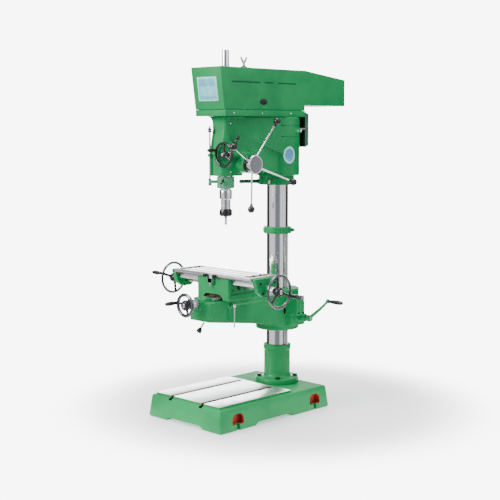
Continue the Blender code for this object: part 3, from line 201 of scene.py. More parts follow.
def plastic(name, colour, smooth=0.18, rough=0.34):
    s = Surface(name, 0.0, Coat_Weight=0.2, Coat_Roughness=0.1)
    scuffs = s.noise(90.0, 6.0, (1, 1, 6))
    edge, rounded = s.edges(0.0010)
    body = s.mix(s.spread(s.noise(30.0), 0.4, 0.7), colour, shade(colour, 1.8))
    # Edges are lightened fourfold: a painted highlight.
    body = s.mix(s.math("MULTIPLY", edge, 0.4), body, shade(colour, 4.0))
    return s.finish(body, s.spread(scuffs, 0.40, 0.70, smooth, rough),
        s.bump(scuffs, 0.08, 0.0003, rounded))


def matt(name, colour, rough=0.75):
    """Rough paint, rubber, a dark recess, or near-black painted shade; its edges get a painted highlight.
    """
    s = Surface(name, 0.0)
    grain = s.noise(120.0, 5.0)
    body = s.mix(s.spread(s.noise(18.0, 5.0), 0.35, 0.68), shade(colour, 0.6), shade(colour, 1.25))
    edge, rounded = s.edges(0.0010)
    # Edges are lightened evenly: a painted highlight.
    body = s.mix(s.math("MULTIPLY", edge, 0.3), body, shade(colour, 1.6))
    return s.finish(body, s.spread(grain, 0.3, 0.7, rough - 0.12, min(1.0, rough + 0.1)),
        s.bump(grain, 0.25, 0.0006, rounded))


def anodised(name, colour, tint):
    """A thin plate, clear-coated, with a soft two-tone wash and a painted highlight along its edges."""
    s = Surface(name, 0.0, Coat_Weight=0.2, Coat_Roughness=0.12)
    wash = s.spread(s.noise(26.0, 2.0), 0.42, 0.60)
    brushed = s.noise(300.0, 3.0, (0.06, 0.06, 1.0))
    edge, rounded = s.edges(0.0006)
    # Edges are lightened evenly: a painted highlight.
    body = s.mix(edge, s.mix(wash, colour, tint), shade(colour, 1.3))
    return s.finish(body, s.spread(brushed, 0.3, 0.7, 0.24, 0.38), s.bump(brushed, 0.05, 0.0002, rounded))


def graduated(name, divisions):
    """Satin chrome with black division lines round its own Z axis; every fifth line is longer."""
    s = Surface(name, 1.0)
    axis = s.add("ShaderNodeSeparateXYZ", Vector=s.place).outputs

    def unclamped(operation, first, second):
        return s.add("ShaderNodeMath", {"operation": operation}, i0=first, i1=second).outputs[0]

    angle = unclamped("ARCTAN2", axis[1], axis[0])

    def lines(count, width):
        turn = unclamped("MULTIPLY", angle, count / (2 * math.pi))
        return unclamped("LESS_THAN", unclamped("PINGPONG", turn, 0.5), width)

    fine = lines(divisions, 0.10)
    short = s.math("MULTIPLY", fine, unclamped("GREATER_THAN", axis[2], 0.008))
    coarse = lines(divisions / 5, 0.03)
    long = s.math("MULTIPLY", coarse, unclamped("GREATER_THAN", axis[2], 0.003))
    ink = s.math("MAXIMUM", short, long)
    grain = s.noise(240.0, 4.0, (1, 1, 0.1))
    edge, rounded = s.edges(0.0006)
    # Brighter chrome along the edges is a painted highlight.
    body = s.mix(ink, s.mix(edge, (0.62, 0.63, 0.64), (0.80, 0.80, 0.80)), (0.015, 0.015, 0.015))
    return s.finish(body, s.spread(grain, 0.3, 0.7, 0.20, 0.34), s.bump(grain, 0.08, 0.0003, rounded))


GREEN_COLOUR = (0.014, 0.290, 0.086)
GREEN = enamel("green_enamel", GREEN_COLOUR)
SHEET_GREEN = enamel("green_enamel_sheet", GREEN_COLOUR, cast=0.25, wear=0.35)
PALE_GREEN = enamel("pale_green_enamel", (0.090, 0.420, 0.210))
DARK_GREEN = enamel("dark_green_enamel", (0.006, 0.100, 0.040))
GREY_GREEN = enamel("grey_green_enamel", (0.060, 0.170, 0.110), cast=0.5)
CHROME = metal("polished_chrome", (0.86, 0.87, 0.88), 0.04, 0.12, (0.2, 0.2, 3.0), stained=0.04,
    scratch=0.02)
STEEL = metal("turned_steel", (0.56, 0.57, 0.58), 0.20, 0.36, (0.3, 0.3, 4.0))
GROUND = metal("ground_iron", (0.72, 0.74, 0.75), 0.26, 0.42, (0.08, 2.0, 1.0), stained=0.12)
PLANED = metal("planed_iron", (0.80, 0.82, 0.83), 0.30, 0.46, (2.0, 0.06, 1.0), stained=0.08)
BLACK_STEEL = metal("blackened_steel", (0.060, 0.062, 0.066), 0.30, 0.45, stained=0.1)
GREY_FACE = metal("dull_grey_face", (0.33, 0.33, 0.36), 0.34, 0.50, stained=0.3)
BRONZE = metal("bronze", (0.58, 0.36, 0.14), 0.24, 0.40)
BLACK = plastic("black_bakelite", (0.010, 0.010, 0.011))
RUBBER = matt("belt_rubber", (0.016, 0.016, 0.017), 0.80)
# Chrome painted darker: painted shade standing in for the dark reflections on the handwheel rims.
SHADED_CHROME = metal("dark_chrome", (0.17, 0.18, 0.19), 0.05, 0.14, (0.2, 0.2, 3.0), stained=0.04,
    scratch=0.02)
RED = matt("red_primer", (0.42, 0.035, 0.020), 0.62)
BLUSH = matt("worn_primer", (0.46, 0.27, 0.24), 0.60)
RUST = matt("red_brown_slot", (0.080, 0.024, 0.017), 0.75)
RECESS = matt("brown_recess", (0.085, 0.040, 0.022), 0.80)
# Near-black painted shade, for the base's slot mouths and the motor plate's face behind the hub.
PAINTED_SHADE = matt("dark_recess", (0.010, 0.012, 0.011), 0.85)
PLATE = anodised("blank_plate", (0.22, 0.70, 0.75), (0.34, 0.80, 0.82))
PLATE_EDGE = anodised("plate_border", (0.38, 0.84, 0.82), (0.50, 0.90, 0.88))
BADGE_BLUE = anodised("badge_blue", (0.08, 0.34, 0.58), (0.14, 0.44, 0.66))
BAND_BLUE = anodised("band_blue", (0.14, 0.50, 0.62), (0.22, 0.60, 0.70))
DIAL = graduated("graduated_dial", 60)

# The part's material slot that each look belongs to, unless a piece says otherwise
SLOTS = {}
for slot_name, looks in (
        ("enamel_green", (GREEN, SHEET_GREEN, PALE_GREEN, DARK_GREEN, GREY_GREEN)),
        ("chrome_plate", (CHROME, SHADED_CHROME, PLATE, PLATE_EDGE, BAND_BLUE, DIAL)),
        ("machined_steel", (STEEL, BLACK_STEEL, GREY_FACE)),
        ("ground_iron", (GROUND, PLANED)),
        ("black_plastic", (BLACK,)),
        ("belt_rubber", (RUBBER,))):
    for look in looks:
        SLOTS[look.name] = slot_name


# Shapes. Most return a bmesh in the frame's coordinates.

def circle(count):
    """Angles that divide a full turn."""
    return [2 * math.pi * k / count for k in range(count)]


def turns(count, first):
    """Angles that divide a full turn, the first given in degrees."""
    return [math.radians(first + 360 / count * k) for k in range(count)]


def soften(points, radius, steps=3, closed=False):
    """The outline or profile with each corner turned into a small curve."""
    result = []
    count = len(points)
    for i, point in enumerate(points):
        here = Vector(point)
        if not closed and i in (0, count - 1):
            result.append(tuple(here))
            continue
        before, after = Vector(points[i - 1]), Vector(points[(i + 1) % count])
        start = here + (before - here) * min(0.45, radius / max(1e-9, (before - here).length))
        end = here + (after - here) * min(0.45, radius / max(1e-9, (after - here).length))
        for k in range(steps + 1):
            t = k / steps
            result.append(tuple(start * (1 - t) ** 2 + here * 2 * t * (1 - t) + end * t * t))
    return result


def loft(rings, closed=False, caps=True):
    """A skin through rings of equally many points."""
    shape = bmesh.new()
    made = [[shape.verts.new(p) for p in ring] for ring in rings]
    pairs = list(zip(made, made[1:]))
    if closed:
        pairs.append((made[-1], made[0]))
    for lower, upper in pairs:
        for k in range(len(lower)):
            j = (k + 1) % len(lower)
            shape.faces.new((lower[k], lower[j], upper[j], upper[k]))
    if caps and not closed:
        shape.faces.new(made[0])
        shape.faces.new(made[-1])
    bmesh.ops.recalc_face_normals(shape, faces=shape.faces)
    return shape


def prism(outline, axis, low, high):
    first, second, along = AXES[axis]
    rings = []
    for level in (low, high):
        ring = []
        for a, b in outline:
            point = [0.0, 0.0, 0.0]
            point[first], point[second], point[along] = a, b, level
            ring.append(point)
        rings.append(ring)
    return loft(rings)


def block(low, high):
    outline = [(low[0], low[1]), (high[0], low[1]), (high[0], high[1]), (low[0], high[1])]
    return prism(outline, "Z", low[2], high[2])


def basis(direction):
    along = Vector(direction).normalized()
    across = along.orthogonal().normalized()
    return along, across, along.cross(across)


def turned(profile, start, direction, sides=64):
    """(radius, distance) turned about a line. It begins and ends on the line, or else it is a ring."""
    along, across, third = basis(direction)
    origin = Vector(start)
    rings = []
    for radius, distance in profile:
        reach = max(radius, 1e-5)
        rings.append([
            origin + along * distance + (across * math.cos(a) + third * math.sin(a)) * reach
            for a in circle(sides)
        ])
    shape = loft(rings, closed=profile[0][0] > 0)
    bmesh.ops.remove_doubles(shape, verts=shape.verts, dist=3e-5)
    bmesh.ops.recalc_face_normals(shape, faces=shape.faces)
    return shape


def rod(start, end, radius, end_radius=None, sides=32, edge=0.0):
    length = (Vector(end) - Vector(start)).length
    last = radius if end_radius is None else end_radius
    profile = [(0, 0), (radius, 0), (last, length), (0, length)]
    return turned(soften(profile, edge) if edge else profile, start, Vector(end) - Vector(start), sides)


def torus(centre, direction, radius, thickness, sides=96, around=20, flat=1.0):
    profile = [(radius + thickness * math.cos(a), thickness * flat * math.sin(a)) for a in circle(around)]
    return turned(profile, centre, direction, sides)


def ball(centre, radius, direction=UP, sides=40):
    half = sides // 2
    profile = [(radius * math.sin(math.pi * k / half),
        -radius * math.cos(math.pi * k / half)) for k in range(half + 1)]
    profile[0], profile[-1] = (0, -radius), (0, radius)
    return turned(profile, centre, direction, sides)


def hex_bolt(seat, direction, size, washer=True):
    """A hexagon head on a washer, its top corners chamfered."""
    head = [(0, 0.0), (size, 0.0), (size, size * 0.62), (size * 0.84, size * 0.74), (0, size * 0.74)]
    shapes = [turned(head, Vector(seat) + Vector(direction).normalized() * 0.002, direction, 6)]
    if washer:
        shapes.append(turned(soften([(0, -0.001), (size * 1.25, -0.001), (size * 1.25, 0.0022),
            (0, 0.0022)], 0.0006), seat, direction, 40))
    return shapes


def cap_screw(seat, direction, radius):
    """A socket-head screw: a round head with a recess."""
    depth = radius * 1.1
    outline = [(0, -0.001), (radius, -0.001), (radius, depth), (radius * 0.55, depth),
        (radius * 0.50, depth * 0.35), (0, depth * 0.30)]
    return turned(soften(outline, radius * 0.12), seat, direction, 28)


def joined(shapes):
    whole = bmesh.new()
    for shape in shapes:
        scrap = bpy.data.meshes.new("scrap")
        shape.to_mesh(scrap)
        shape.free()
        whole.from_mesh(scrap)
        bpy.data.meshes.remove(scrap)
    return whole


# Pieces

def plain_object(name, shape):
    mesh = bpy.data.meshes.new(name)
    shape.to_mesh(mesh)
    shape.free()
    made = bpy.data.objects.new(name, mesh)
    bpy.context.scene.collection.objects.link(made)
    return made


def settle(made):
    """Applies the object's modifiers to its mesh."""
    bpy.context.view_layer.update()
    graph = bpy.context.evaluated_depsgraph_get()
    result = bpy.data.meshes.new_from_object(made.evaluated_get(graph))
    old = made.data
    made.modifiers.clear()
    made.data = result
    bpy.data.meshes.remove(old)


def combine(made, shape, operation):
    helper = plain_object(made.name + "_helper", shape)
    modifier = made.modifiers.new(operation, "BOOLEAN")
    modifier.operation = operation
    modifier.solver = "EXACT"
    modifier.use_self = True
    modifier.object = helper
    settle(made)
    bpy.data.objects.remove(helper)


def round_edges(made, width, segments=3, sharp=30):
    modifier = made.modifiers.new("round", "BEVEL")
    modifier.width = width
    modifier.segments = segments
    modifier.limit_method = "ANGLE"
    modifier.angle_limit = math.radians(sharp)
    settle(made)


def cast_surface(made, voxel, passes=6):
    """Turns overlapping shells into one skin with rounded corners and fillets."""
    remesh = made.modifiers.new("skin", "REMESH")
    remesh.mode = "VOXEL"
    remesh.voxel_size = voxel
    smooth = made.modifiers.new("smooth", "SMOOTH")
    smooth.factor = 0.5
    smooth.iterations = passes
    settle(made)


def piece(name, body, material, shapes, cut=(), bevel=0.0, voxel=0.0, passes=6, replaces=(), slot=None,
          sharp=35, others=()):
    """One visible piece. others are (material, test) pairs: a face whose centre and normal pass the test
    takes that material instead. Its slot, or else its material's own, is looked up but not kept."""
    made = plain_object(name, joined(shapes))
    if bevel:
        round_edges(made, bevel)
    if voxel:
        cast_surface(made, voxel, passes)
    if cut:
        combine(made, joined(cut), "DIFFERENCE")
    made.data.materials.clear()
    for finish in (material, *[other for other, _ in others]):
        made.data.materials.append(finish)
    for face in made.data.polygons:
        face.material_index = 0
        for k, (_, test) in enumerate(others):
            if test(face.center, face.normal):
                face.material_index = k + 1
    made.data.shade_smooth()
    made.data.set_sharp_from_angle(angle=math.radians(sharp))
    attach(made, body)
    if replaces:
        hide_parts(*replaces)
    slot or SLOTS[material.name]
    return made


def dress(node, material):
    """A CAD node that stays visible takes a finer material."""
    made = frame["nodes"][node]
    made.data.materials.clear()
    made.data.materials.append(material)


def round_the_column(angle, radius, height):
    return Vector((radius * math.cos(angle), radius * math.sin(angle), height))


def upright_axis(node):
    """The floor point under the middle of a CAD node."""
    low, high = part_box(node)
    return Vector(((low.x + high.x) / 2, (low.y + high.y) / 2, 0))


# Stand: base, column, flange, collar and rack

def build_base():
    low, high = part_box("base")
    deck = high.z - 0.012
    pad = (0.250, -0.705, -0.155)  # half width, front, rear
    inset = 0.014

    def level(narrow, z):
        return [(-high.x + narrow, low.y + narrow, z), (high.x - narrow, low.y + narrow, z),
                (high.x - narrow, high.y - narrow, z), (-high.x + narrow, high.y - narrow, z)]

    made = plain_object("base_casting", loft([level(0.0, 0.0), level(inset, deck)]))
    round_edges(made, 0.011, 5)
    top = plain_object("pad", block((-pad[0], pad[1], 0.100), (pad[0], pad[2], high.z)))
    round_edges(top, 0.0015, 2)
    combined = bmesh.new()
    combined.from_mesh(top.data)
    bpy.data.objects.remove(top)
    combine(made, combined, "UNION")
    cuts = [block((-0.235, -0.690, -0.05), (0.235, -0.205, 0.090))]
    arch = [(-0.150, -0.05), (-0.150, -0.001), (-0.128, 0.020), (0.128, 0.020), (0.150, -0.001),
        (0.150, -0.05)]
    cuts.append(prism(soften(arch, 0.012, closed=True), "Y", -0.80, -0.40))
    arch = [(-0.475, -0.05), (-0.475, -0.001), (-0.453, 0.020), (-0.192, 0.020), (-0.170, -0.001),
        (-0.170, -0.05)]
    cuts.append(prism(soften(arch, 0.012, closed=True), "X", -0.40, 0.40))
    for y in POCKET_PLACES:
        pocket = [(y - 0.042, 0.034), (y + 0.042, 0.034), (y + 0.042, 0.070), (y + 0.026, 0.090),
            (y - 0.026, 0.090), (y - 0.042, 0.070)]
        for side in (-1, 1):
            near, far = sorted((side * 0.248, side * 0.340))
            cuts.append(prism(soften(pocket, 0.010, closed=True), "X", near, far))
            near, far = sorted((side * 0.262, side * 0.340))
            cuts.append(block((near, y - 0.011, -0.05), (far, y + 0.011, 0.05)))
    for x in (-BASE_SLOT_X, BASE_SLOT_X):
        tee = [(x - 0.012, 0.15), (x - 0.012, high.z), (x - 0.007, high.z - 0.003), (x - 0.007, 0.124),
            (x - 0.012, 0.124), (x - 0.012, 0.112), (x + 0.012, 0.112), (x + 0.012, 0.124),
            (x + 0.007, 0.124), (x + 0.007, high.z - 0.003), (x + 0.012, high.z), (x + 0.012, 0.15)]
        cuts.append(prism(tee, "Y", low.y - 0.05, pad[2] - 0.020))
    combine(made, joined(cuts), "DIFFERENCE")
    finished = joined_from(made)

    def on_pad(centre, normal):
        inside = abs(centre.x) < pad[0] and pad[1] < centre.y < pad[2]
        return inside and centre.z > high.z - 0.0018 and normal.z > 0.5

    def in_pocket(centre, _):
        beside = min(abs(centre.y - y) for y in POCKET_PLACES)
        return 0.24 < abs(centre.x) < 0.279 and 0.033 < centre.z < 0.0905 and beside < 0.0425

    def near_slot(centre, roof):
        return 0.111 < centre.z < roof - 0.0002 and abs(abs(centre.x) - BASE_SLOT_X) < 0.0122

    def in_slot(centre, _):
        return near_slot(centre, high.z) and centre.y > pad[1]

    # The slot's mouth in front of the pad is painted near-black: painted shade.
    def slot_mouth_shade(centre, _):
        return near_slot(centre, deck) and centre.y <= pad[1]

    piece("base_casting", "stand", GREEN, [finished], replaces=["base"], sharp=40, others=[
        (PLANED, on_pad), (RED, in_pocket), (RUST, in_slot), (PAINTED_SHADE, slot_mouth_shade)])


def joined_from(made):
    """The object's mesh as a bmesh; the object itself goes."""
    shape = bmesh.new()
    shape.from_mesh(made.data)
    bpy.data.objects.remove(made)
    return shape


def build_column():
    low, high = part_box("column")
    radius = high.x
    flange_low, flange_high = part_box("column_flange")
    bore = radius + CLEAR
    rim = flange_high.x
    profile = soften([(bore, flange_low.z), (rim, flange_low.z), (rim, 0.150), (rim - 0.004, 0.155),
        (0.0905, 0.1555), (0.0800, 0.163), (0.0757, 0.178), (0.0757, 0.314), (0.0790, 0.318),
        (0.0790, flange_high.z - 0.003), (0.0765, flange_high.z), (bore, flange_high.z)], 0.004)
    piece("flange_casting", "stand", GREEN, [turned(profile, (0, 0, 0), UP, 112)],
        replaces=["column_flange"])
    bolts = []
    for angle in turns(4, 45):
        bolts += hex_bolt(round_the_column(angle, 0.104, 0.1565), UP, 0.0125)
    piece("flange_bolts", "stand", BLACK_STEEL, bolts, sharp=25)

    wall = [(radius - 0.012, low.z), (radius, low.z), (radius, high.z), (radius - 0.012, high.z)]
    piece("column_tube", "stand", CHROME, [turned(wall, (0, 0, 0), UP, 144)], replaces=["column"])

    low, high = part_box("rack_collar")
    ring = soften([(bore, low.z), (0.080, low.z), (0.080, high.z), (bore, high.z)], 0.003)
    way = round_the_column(math.radians(35), 1.0, 0)
    middle = Vector((0, 0, (low.z + high.z) / 2))
    lug = rod(middle + way * 0.068, middle + way * 0.094, 0.0115, edge=0.003)
    ears = []
    for angle in (-150, -62):
        ear = round_the_column(math.radians(angle), 1.0, 0)
        ears.append(rod(middle + ear * 0.070, middle + ear * 0.0835, 0.0120, edge=0.003))
    piece("collar_ring", "stand", GREEN, [turned(ring, (0, 0, 0), UP, 112), lug, *ears],
        replaces=["rack_collar"])
    screws = [cap_screw(middle + way * 0.0935, way, 0.0065)]
    piece("collar_screw", "stand", BLACK_STEEL, screws)
    dress("knee_rack", STEEL)


# Knee

def build_knee():
    hub_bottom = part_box("knee")[0].z
    half = ARM_HALF_WIDTH
    front = ARM_FRONT
    hub_radius = -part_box("column_flange")[0].x + 0.0005
    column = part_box("column")[1].x
    cross = JOINT["cross_turn"]
    crank = JOINT["crank_turn"]
    gear = JOINT["lift_gear_turn"]
    hub = turned(soften([(0, hub_bottom), (hub_radius, hub_bottom), (hub_radius, 0.674), (0, 0.674)],
        0.006), (0, 0, 0), UP, 96)
    nose = prism([(front, 0.550), (-0.472, 0.531), (-0.472, ARM_TOP), (front, ARM_TOP)], "X", -half, half)
    beam = prism([(-0.500, 0.535), (-0.085, 0.477), (-0.085, ARM_TOP), (-0.500, ARM_TOP)], "X",
        -half + 0.006, half - 0.006)
    rail = block((-half, -0.500, 0.628), (half, -0.090, ARM_TOP))
    web = loft([
        [(-0.073, -0.190, 0.492), (0.073, -0.190, 0.492), (0.073, -0.190, 0.652), (-0.073, -0.190, 0.652)],
        [(-0.110, -0.050, 0.460), (0.110, -0.050, 0.460), (0.110, -0.050, 0.668), (-0.110, -0.050, 0.668)]])
    nose_block = block((-0.045, front - 0.004, 0.600), (0.045, -0.568, cross.z + 0.030))
    screw_boss = rod((0, front - 0.022, cross.z), (0, -0.590, cross.z), 0.034, edge=0.004, sides=48)
    boss_end = JOINT["crank_grip_spin"].x - 0.028
    ear = block((0.070, -0.060, 0.536), (EAR_RIGHT, 0.002, 0.646))
    gear_box = block((0.070, -0.050, 0.468), (0.155, 0.066, 0.602))
    crank_boss = rod((0.120, crank.y, crank.z), (boss_end, crank.y, crank.z), 0.024, edge=0.003, sides=48)
    lock_boss = rod((half - 0.014, -0.450, 0.628), (half, -0.450, 0.628), 0.017, edge=0.003)
    arm_boss = rod((-0.020, -0.560, 0.560), (-0.020, -0.560, 0.5395), 0.017)
    cuts = [
        rod((0, 0, 0.40), (0, 0, 0.72), column + CLEAR, sides=112),
        block((0.030, -0.0135, 0.40), (0.0775, 0.0135, 0.72)),
        block((-0.017, -0.575, 0.622), (0.017, -0.185, 0.700)),
        rod((0, -0.70, cross.z), (0, -0.50, cross.z), 0.0095),
        rod((boss_end - 0.030, crank.y, crank.z), (0.30, crank.y, crank.z), 0.0106),
        rod((gear.x, -0.062, gear.z), (gear.x, 0.070, gear.z), 0.0300),
    ]
    piece("knee_casting", "knee", GREEN,
        [hub, nose, beam, rail, web, nose_block, screw_boss, ear, gear_box, crank_boss, lock_boss,
        arm_boss], voxel=0.0034, cut=cuts, replaces=["knee"])
    way = [(0.052, 0.646), (0.052, 0.6557), (0.060, 0.672), (0.0175, 0.672), (0.0175, 0.646)]
    ways = [prism([(side * x, z) for x, z in way], "Y", -0.565, -0.145) for side in (-1, 1)]
    piece("knee_ways", "knee", PLANED, ways, sharp=20)

    details = hex_bolt((0.112, 0.034, 0.6022), UP, 0.0075)
    for y, z in ((-0.047, 0.550), (-0.011, 0.550), (-0.047, 0.632), (-0.011, 0.632)):
        details.append(cap_screw((EAR_RIGHT - 0.0005, y, z), RIGHT, 0.0050))
    piece("knee_screws", "knee", BLACK_STEEL, details)
    cover = rod((EAR_RIGHT - 0.0005, -0.029, 0.591), (EAR_RIGHT + 0.0025, -0.029, 0.591), 0.0175, sides=48,
        edge=0.001)
    piece("ear_plug", "knee", GREEN, [cover])
    dress("lift_pinion", STEEL)


def build_crank():
    centre = JOINT["crank_turn"]
    pin_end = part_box("crank_arm")[1].x
    tip = JOINT["crank_grip_spin"]
    middle = Vector((tip.x, centre.y, centre.z))
    way = (tip - middle).normalized()
    side = way.cross(RIGHT)
    hub = turned(soften([(0.0101, -0.014), (0.019, -0.014), (0.019, 0.013), (0.0101, 0.013)], 0.003),
        middle, RIGHT, 48)
    rings = []
    reach = (tip - middle).length
    for k in range(13):
        share = k / 12
        bow = RIGHT * 0.004 * math.sin(math.pi * share)
        line = middle + way * (0.013 + (reach - 0.013) * share) + bow
        wide, deep = 0.0120 - 0.0045 * share, 0.0075 - 0.0012 * share
        rings.append([line + side * wide * math.cos(a) + RIGHT * deep * math.sin(a) for a in circle(24)])
    eye = rod(tip - RIGHT * 0.009, tip + RIGHT * 0.009, 0.0125, edge=0.003)
    piece("crank_lever", "crank", GREEN, [hub, loft(rings), eye], voxel=0.0016, passes=4,
        replaces=["crank_arm"])
    nut = hex_bolt(middle + RIGHT * 0.0130, RIGHT, 0.0085)
    piece("crank_nut", "crank", STEEL, nut)
    piece("crank_pin", "crank", STEEL, [rod(tip, (pin_end, tip.y, tip.z), 0.0045, sides=24)])
    dress("crank_worm_shaft", STEEL)
    build_grip("crank_handle_grip", "crank_handle", "crank_grip", tip, RIGHT, 0.010, 0.110, 0.0130)


def build_grip(name, body, node, foot, outward, start, end, radius):
    """A shaped black grip round its pin."""
    span = end - start
    profile = [(0.0050, start), (radius * 0.70, start), (radius * 0.78, start + span * 0.06),
        (radius * 0.74, start + span * 0.14), (radius * 0.98, start + span * 0.40),
        (radius, start + span * 0.62), (radius * 0.94, start + span * 0.85),
        (radius * 0.66, start + span * 0.985), (0.0050, end)]
    piece(name, body, BLACK, [turned(soften(profile, span * 0.05, 4), foot, outward, 36)], replaces=[node])


def build_knee_levers():
    foot = JOINT["saddle_lock_turn"]
    out = foot + RIGHT * 0.024
    boss = rod(foot, out - RIGHT * 0.004, 0.0095, edge=0.0015)
    knuckle = ball(out, 0.0115, RIGHT)
    tail = out + Vector((0.010, -0.010, -0.120))
    line = (tail - out).normalized()
    shank = turned(soften([(0, 0.0), (0.0052, 0.0), (0.0040, 0.050), (0.0036, 0.100), (0.0046, 0.108),
        (0.0050, 0.117), (0, 0.1205)], 0.004), out, line, 24)
    piece("saddle_lock_handle", "saddle_lock", CHROME, [boss, knuckle, shank],
        replaces=["saddle_lock_lever"])

    foot = JOINT["arm_lock_turn"]
    way = Vector((0, -0.033, -0.0375)).normalized()
    knob = foot + Vector((0, -0.033, -0.041))
    stem = rod(foot + UP * -0.0035, knob - way * 0.010, 0.0050, sides=24)
    piece("arm_lock_stem", "arm_lock", CHROME, [stem])
    profile = [(0, -0.0165), (0.0070, -0.0160), (0.0090, -0.010), (0.0155, 0.002), (0.0160, 0.009),
        (0.0110, 0.0155), (0, 0.0165)]
    piece("arm_lock_knob", "arm_lock", BLACK, [turned(soften(profile, 0.006, 4), knob, way, 36)],
        replaces=["arm_lock_lever"])


# Saddle and table

def build_saddle():
    low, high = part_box("saddle")
    middle = JOINT["table_turn"].y
    screw_z = JOINT["table_turn"].z
    body = plain_object("saddle_block", block(low, high))
    round_edges(body, 0.007, 4)
    arch = [(-0.078, 0.60), (-0.078, 0.668), (-0.058, 0.690), (0.058, 0.690), (0.078, 0.668), (0.078, 0.60)]
    knee_way = [(-0.0530, 0.60), (-0.0530, 0.6565), (-0.0612, 0.6732), (0.0612, 0.6732), (0.0530, 0.6565),
        (0.0530, 0.60)]
    table_way = [(middle - 0.052, 0.80), (middle - 0.052, high.z), (middle - 0.062, 0.7480),
        (middle + 0.062, 0.7480), (middle + 0.052, high.z), (middle + 0.052, 0.80)]
    cuts = [
        prism(soften(arch, 0.020, 5, closed=True), "Y", low.y - 0.02, low.y + 0.022),
        prism(knee_way, "Y", low.y - 0.02, high.y + 0.02),
        prism(table_way, "X", -0.2, 0.2),
        block((-0.2, middle - 0.014, screw_z - 0.014), (0.2, middle + 0.014, 0.760)),
        block((-0.0205, middle - 0.0205, screw_z - 0.0225), (0.0205, middle + 0.0205, 0.760)),
        block((-0.0165, -0.4505, 0.60), (0.0165, -0.4095, 0.7050)),
        block((0.118, low.y + 0.018, 0.690), (0.140, high.y - 0.018, 0.7380)),
    ]

    def in_arch(centre, normal):
        """The arch's back and its walls."""
        inside = abs(centre.x) < 0.0785 and centre.z < 0.6905 and low.y < centre.y < low.y + 0.0235
        return inside and (normal.y < -0.9 and centre.y > low.y + 0.01 or abs(normal.y) < 0.3)

    piece("saddle_casting", "saddle", GREEN, [joined_from(body)], cut=cuts, replaces=["saddle"], others=[
        (RECESS, in_arch),
        (GROUND, lambda c, n: c.z > high.z - 0.0002 and n.z > 0.9)])
    dress("table_nut", BRONZE)
    dress("cross_nut", BRONZE)

    gibs = []
    for k in range(4):
        y = low.y + 0.040 + k * (high.y - low.y - 0.080) / 3
        gibs.append(cap_screw((high.x - 0.0045, y, 0.714), RIGHT, 0.0042))
    for x in (-0.090, -0.030, 0.045, 0.095):
        gibs.append(cap_screw((x, high.y - 0.0004, 0.720), BACK, 0.0042))
    piece("saddle_gib_screws", "saddle", BLACK_STEEL, gibs)

    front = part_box("table")[0].y - 0.0015
    plate = plain_object("stop_block", block((-0.018, front - 0.007, 0.751), (0.016, front, 0.798)))
    round_edges(plate, 0.0015, 2)
    foot = block((-0.018, front - 0.007, 0.751), (0.016, low.y + 0.002, 0.776))
    tongue = rod((-0.001, front - 0.004, 0.753), (-0.001, front - 0.004, 0.732), 0.0050, 0.0042, sides=24,
        edge=0.001)
    piece("table_stop_block", "saddle", CHROME, [joined_from(plate), foot, tongue])
    knobs = [block((-0.044, front - 0.0045, 0.786), (0.038, front - 0.0005, 0.796))]
    for x in (-0.040, 0.036):
        knobs.append(cap_screw((x, front - 0.0040, 0.791), -BACK, 0.0088))
    piece("table_stop_screws", "saddle", BLACK_STEEL, knobs)


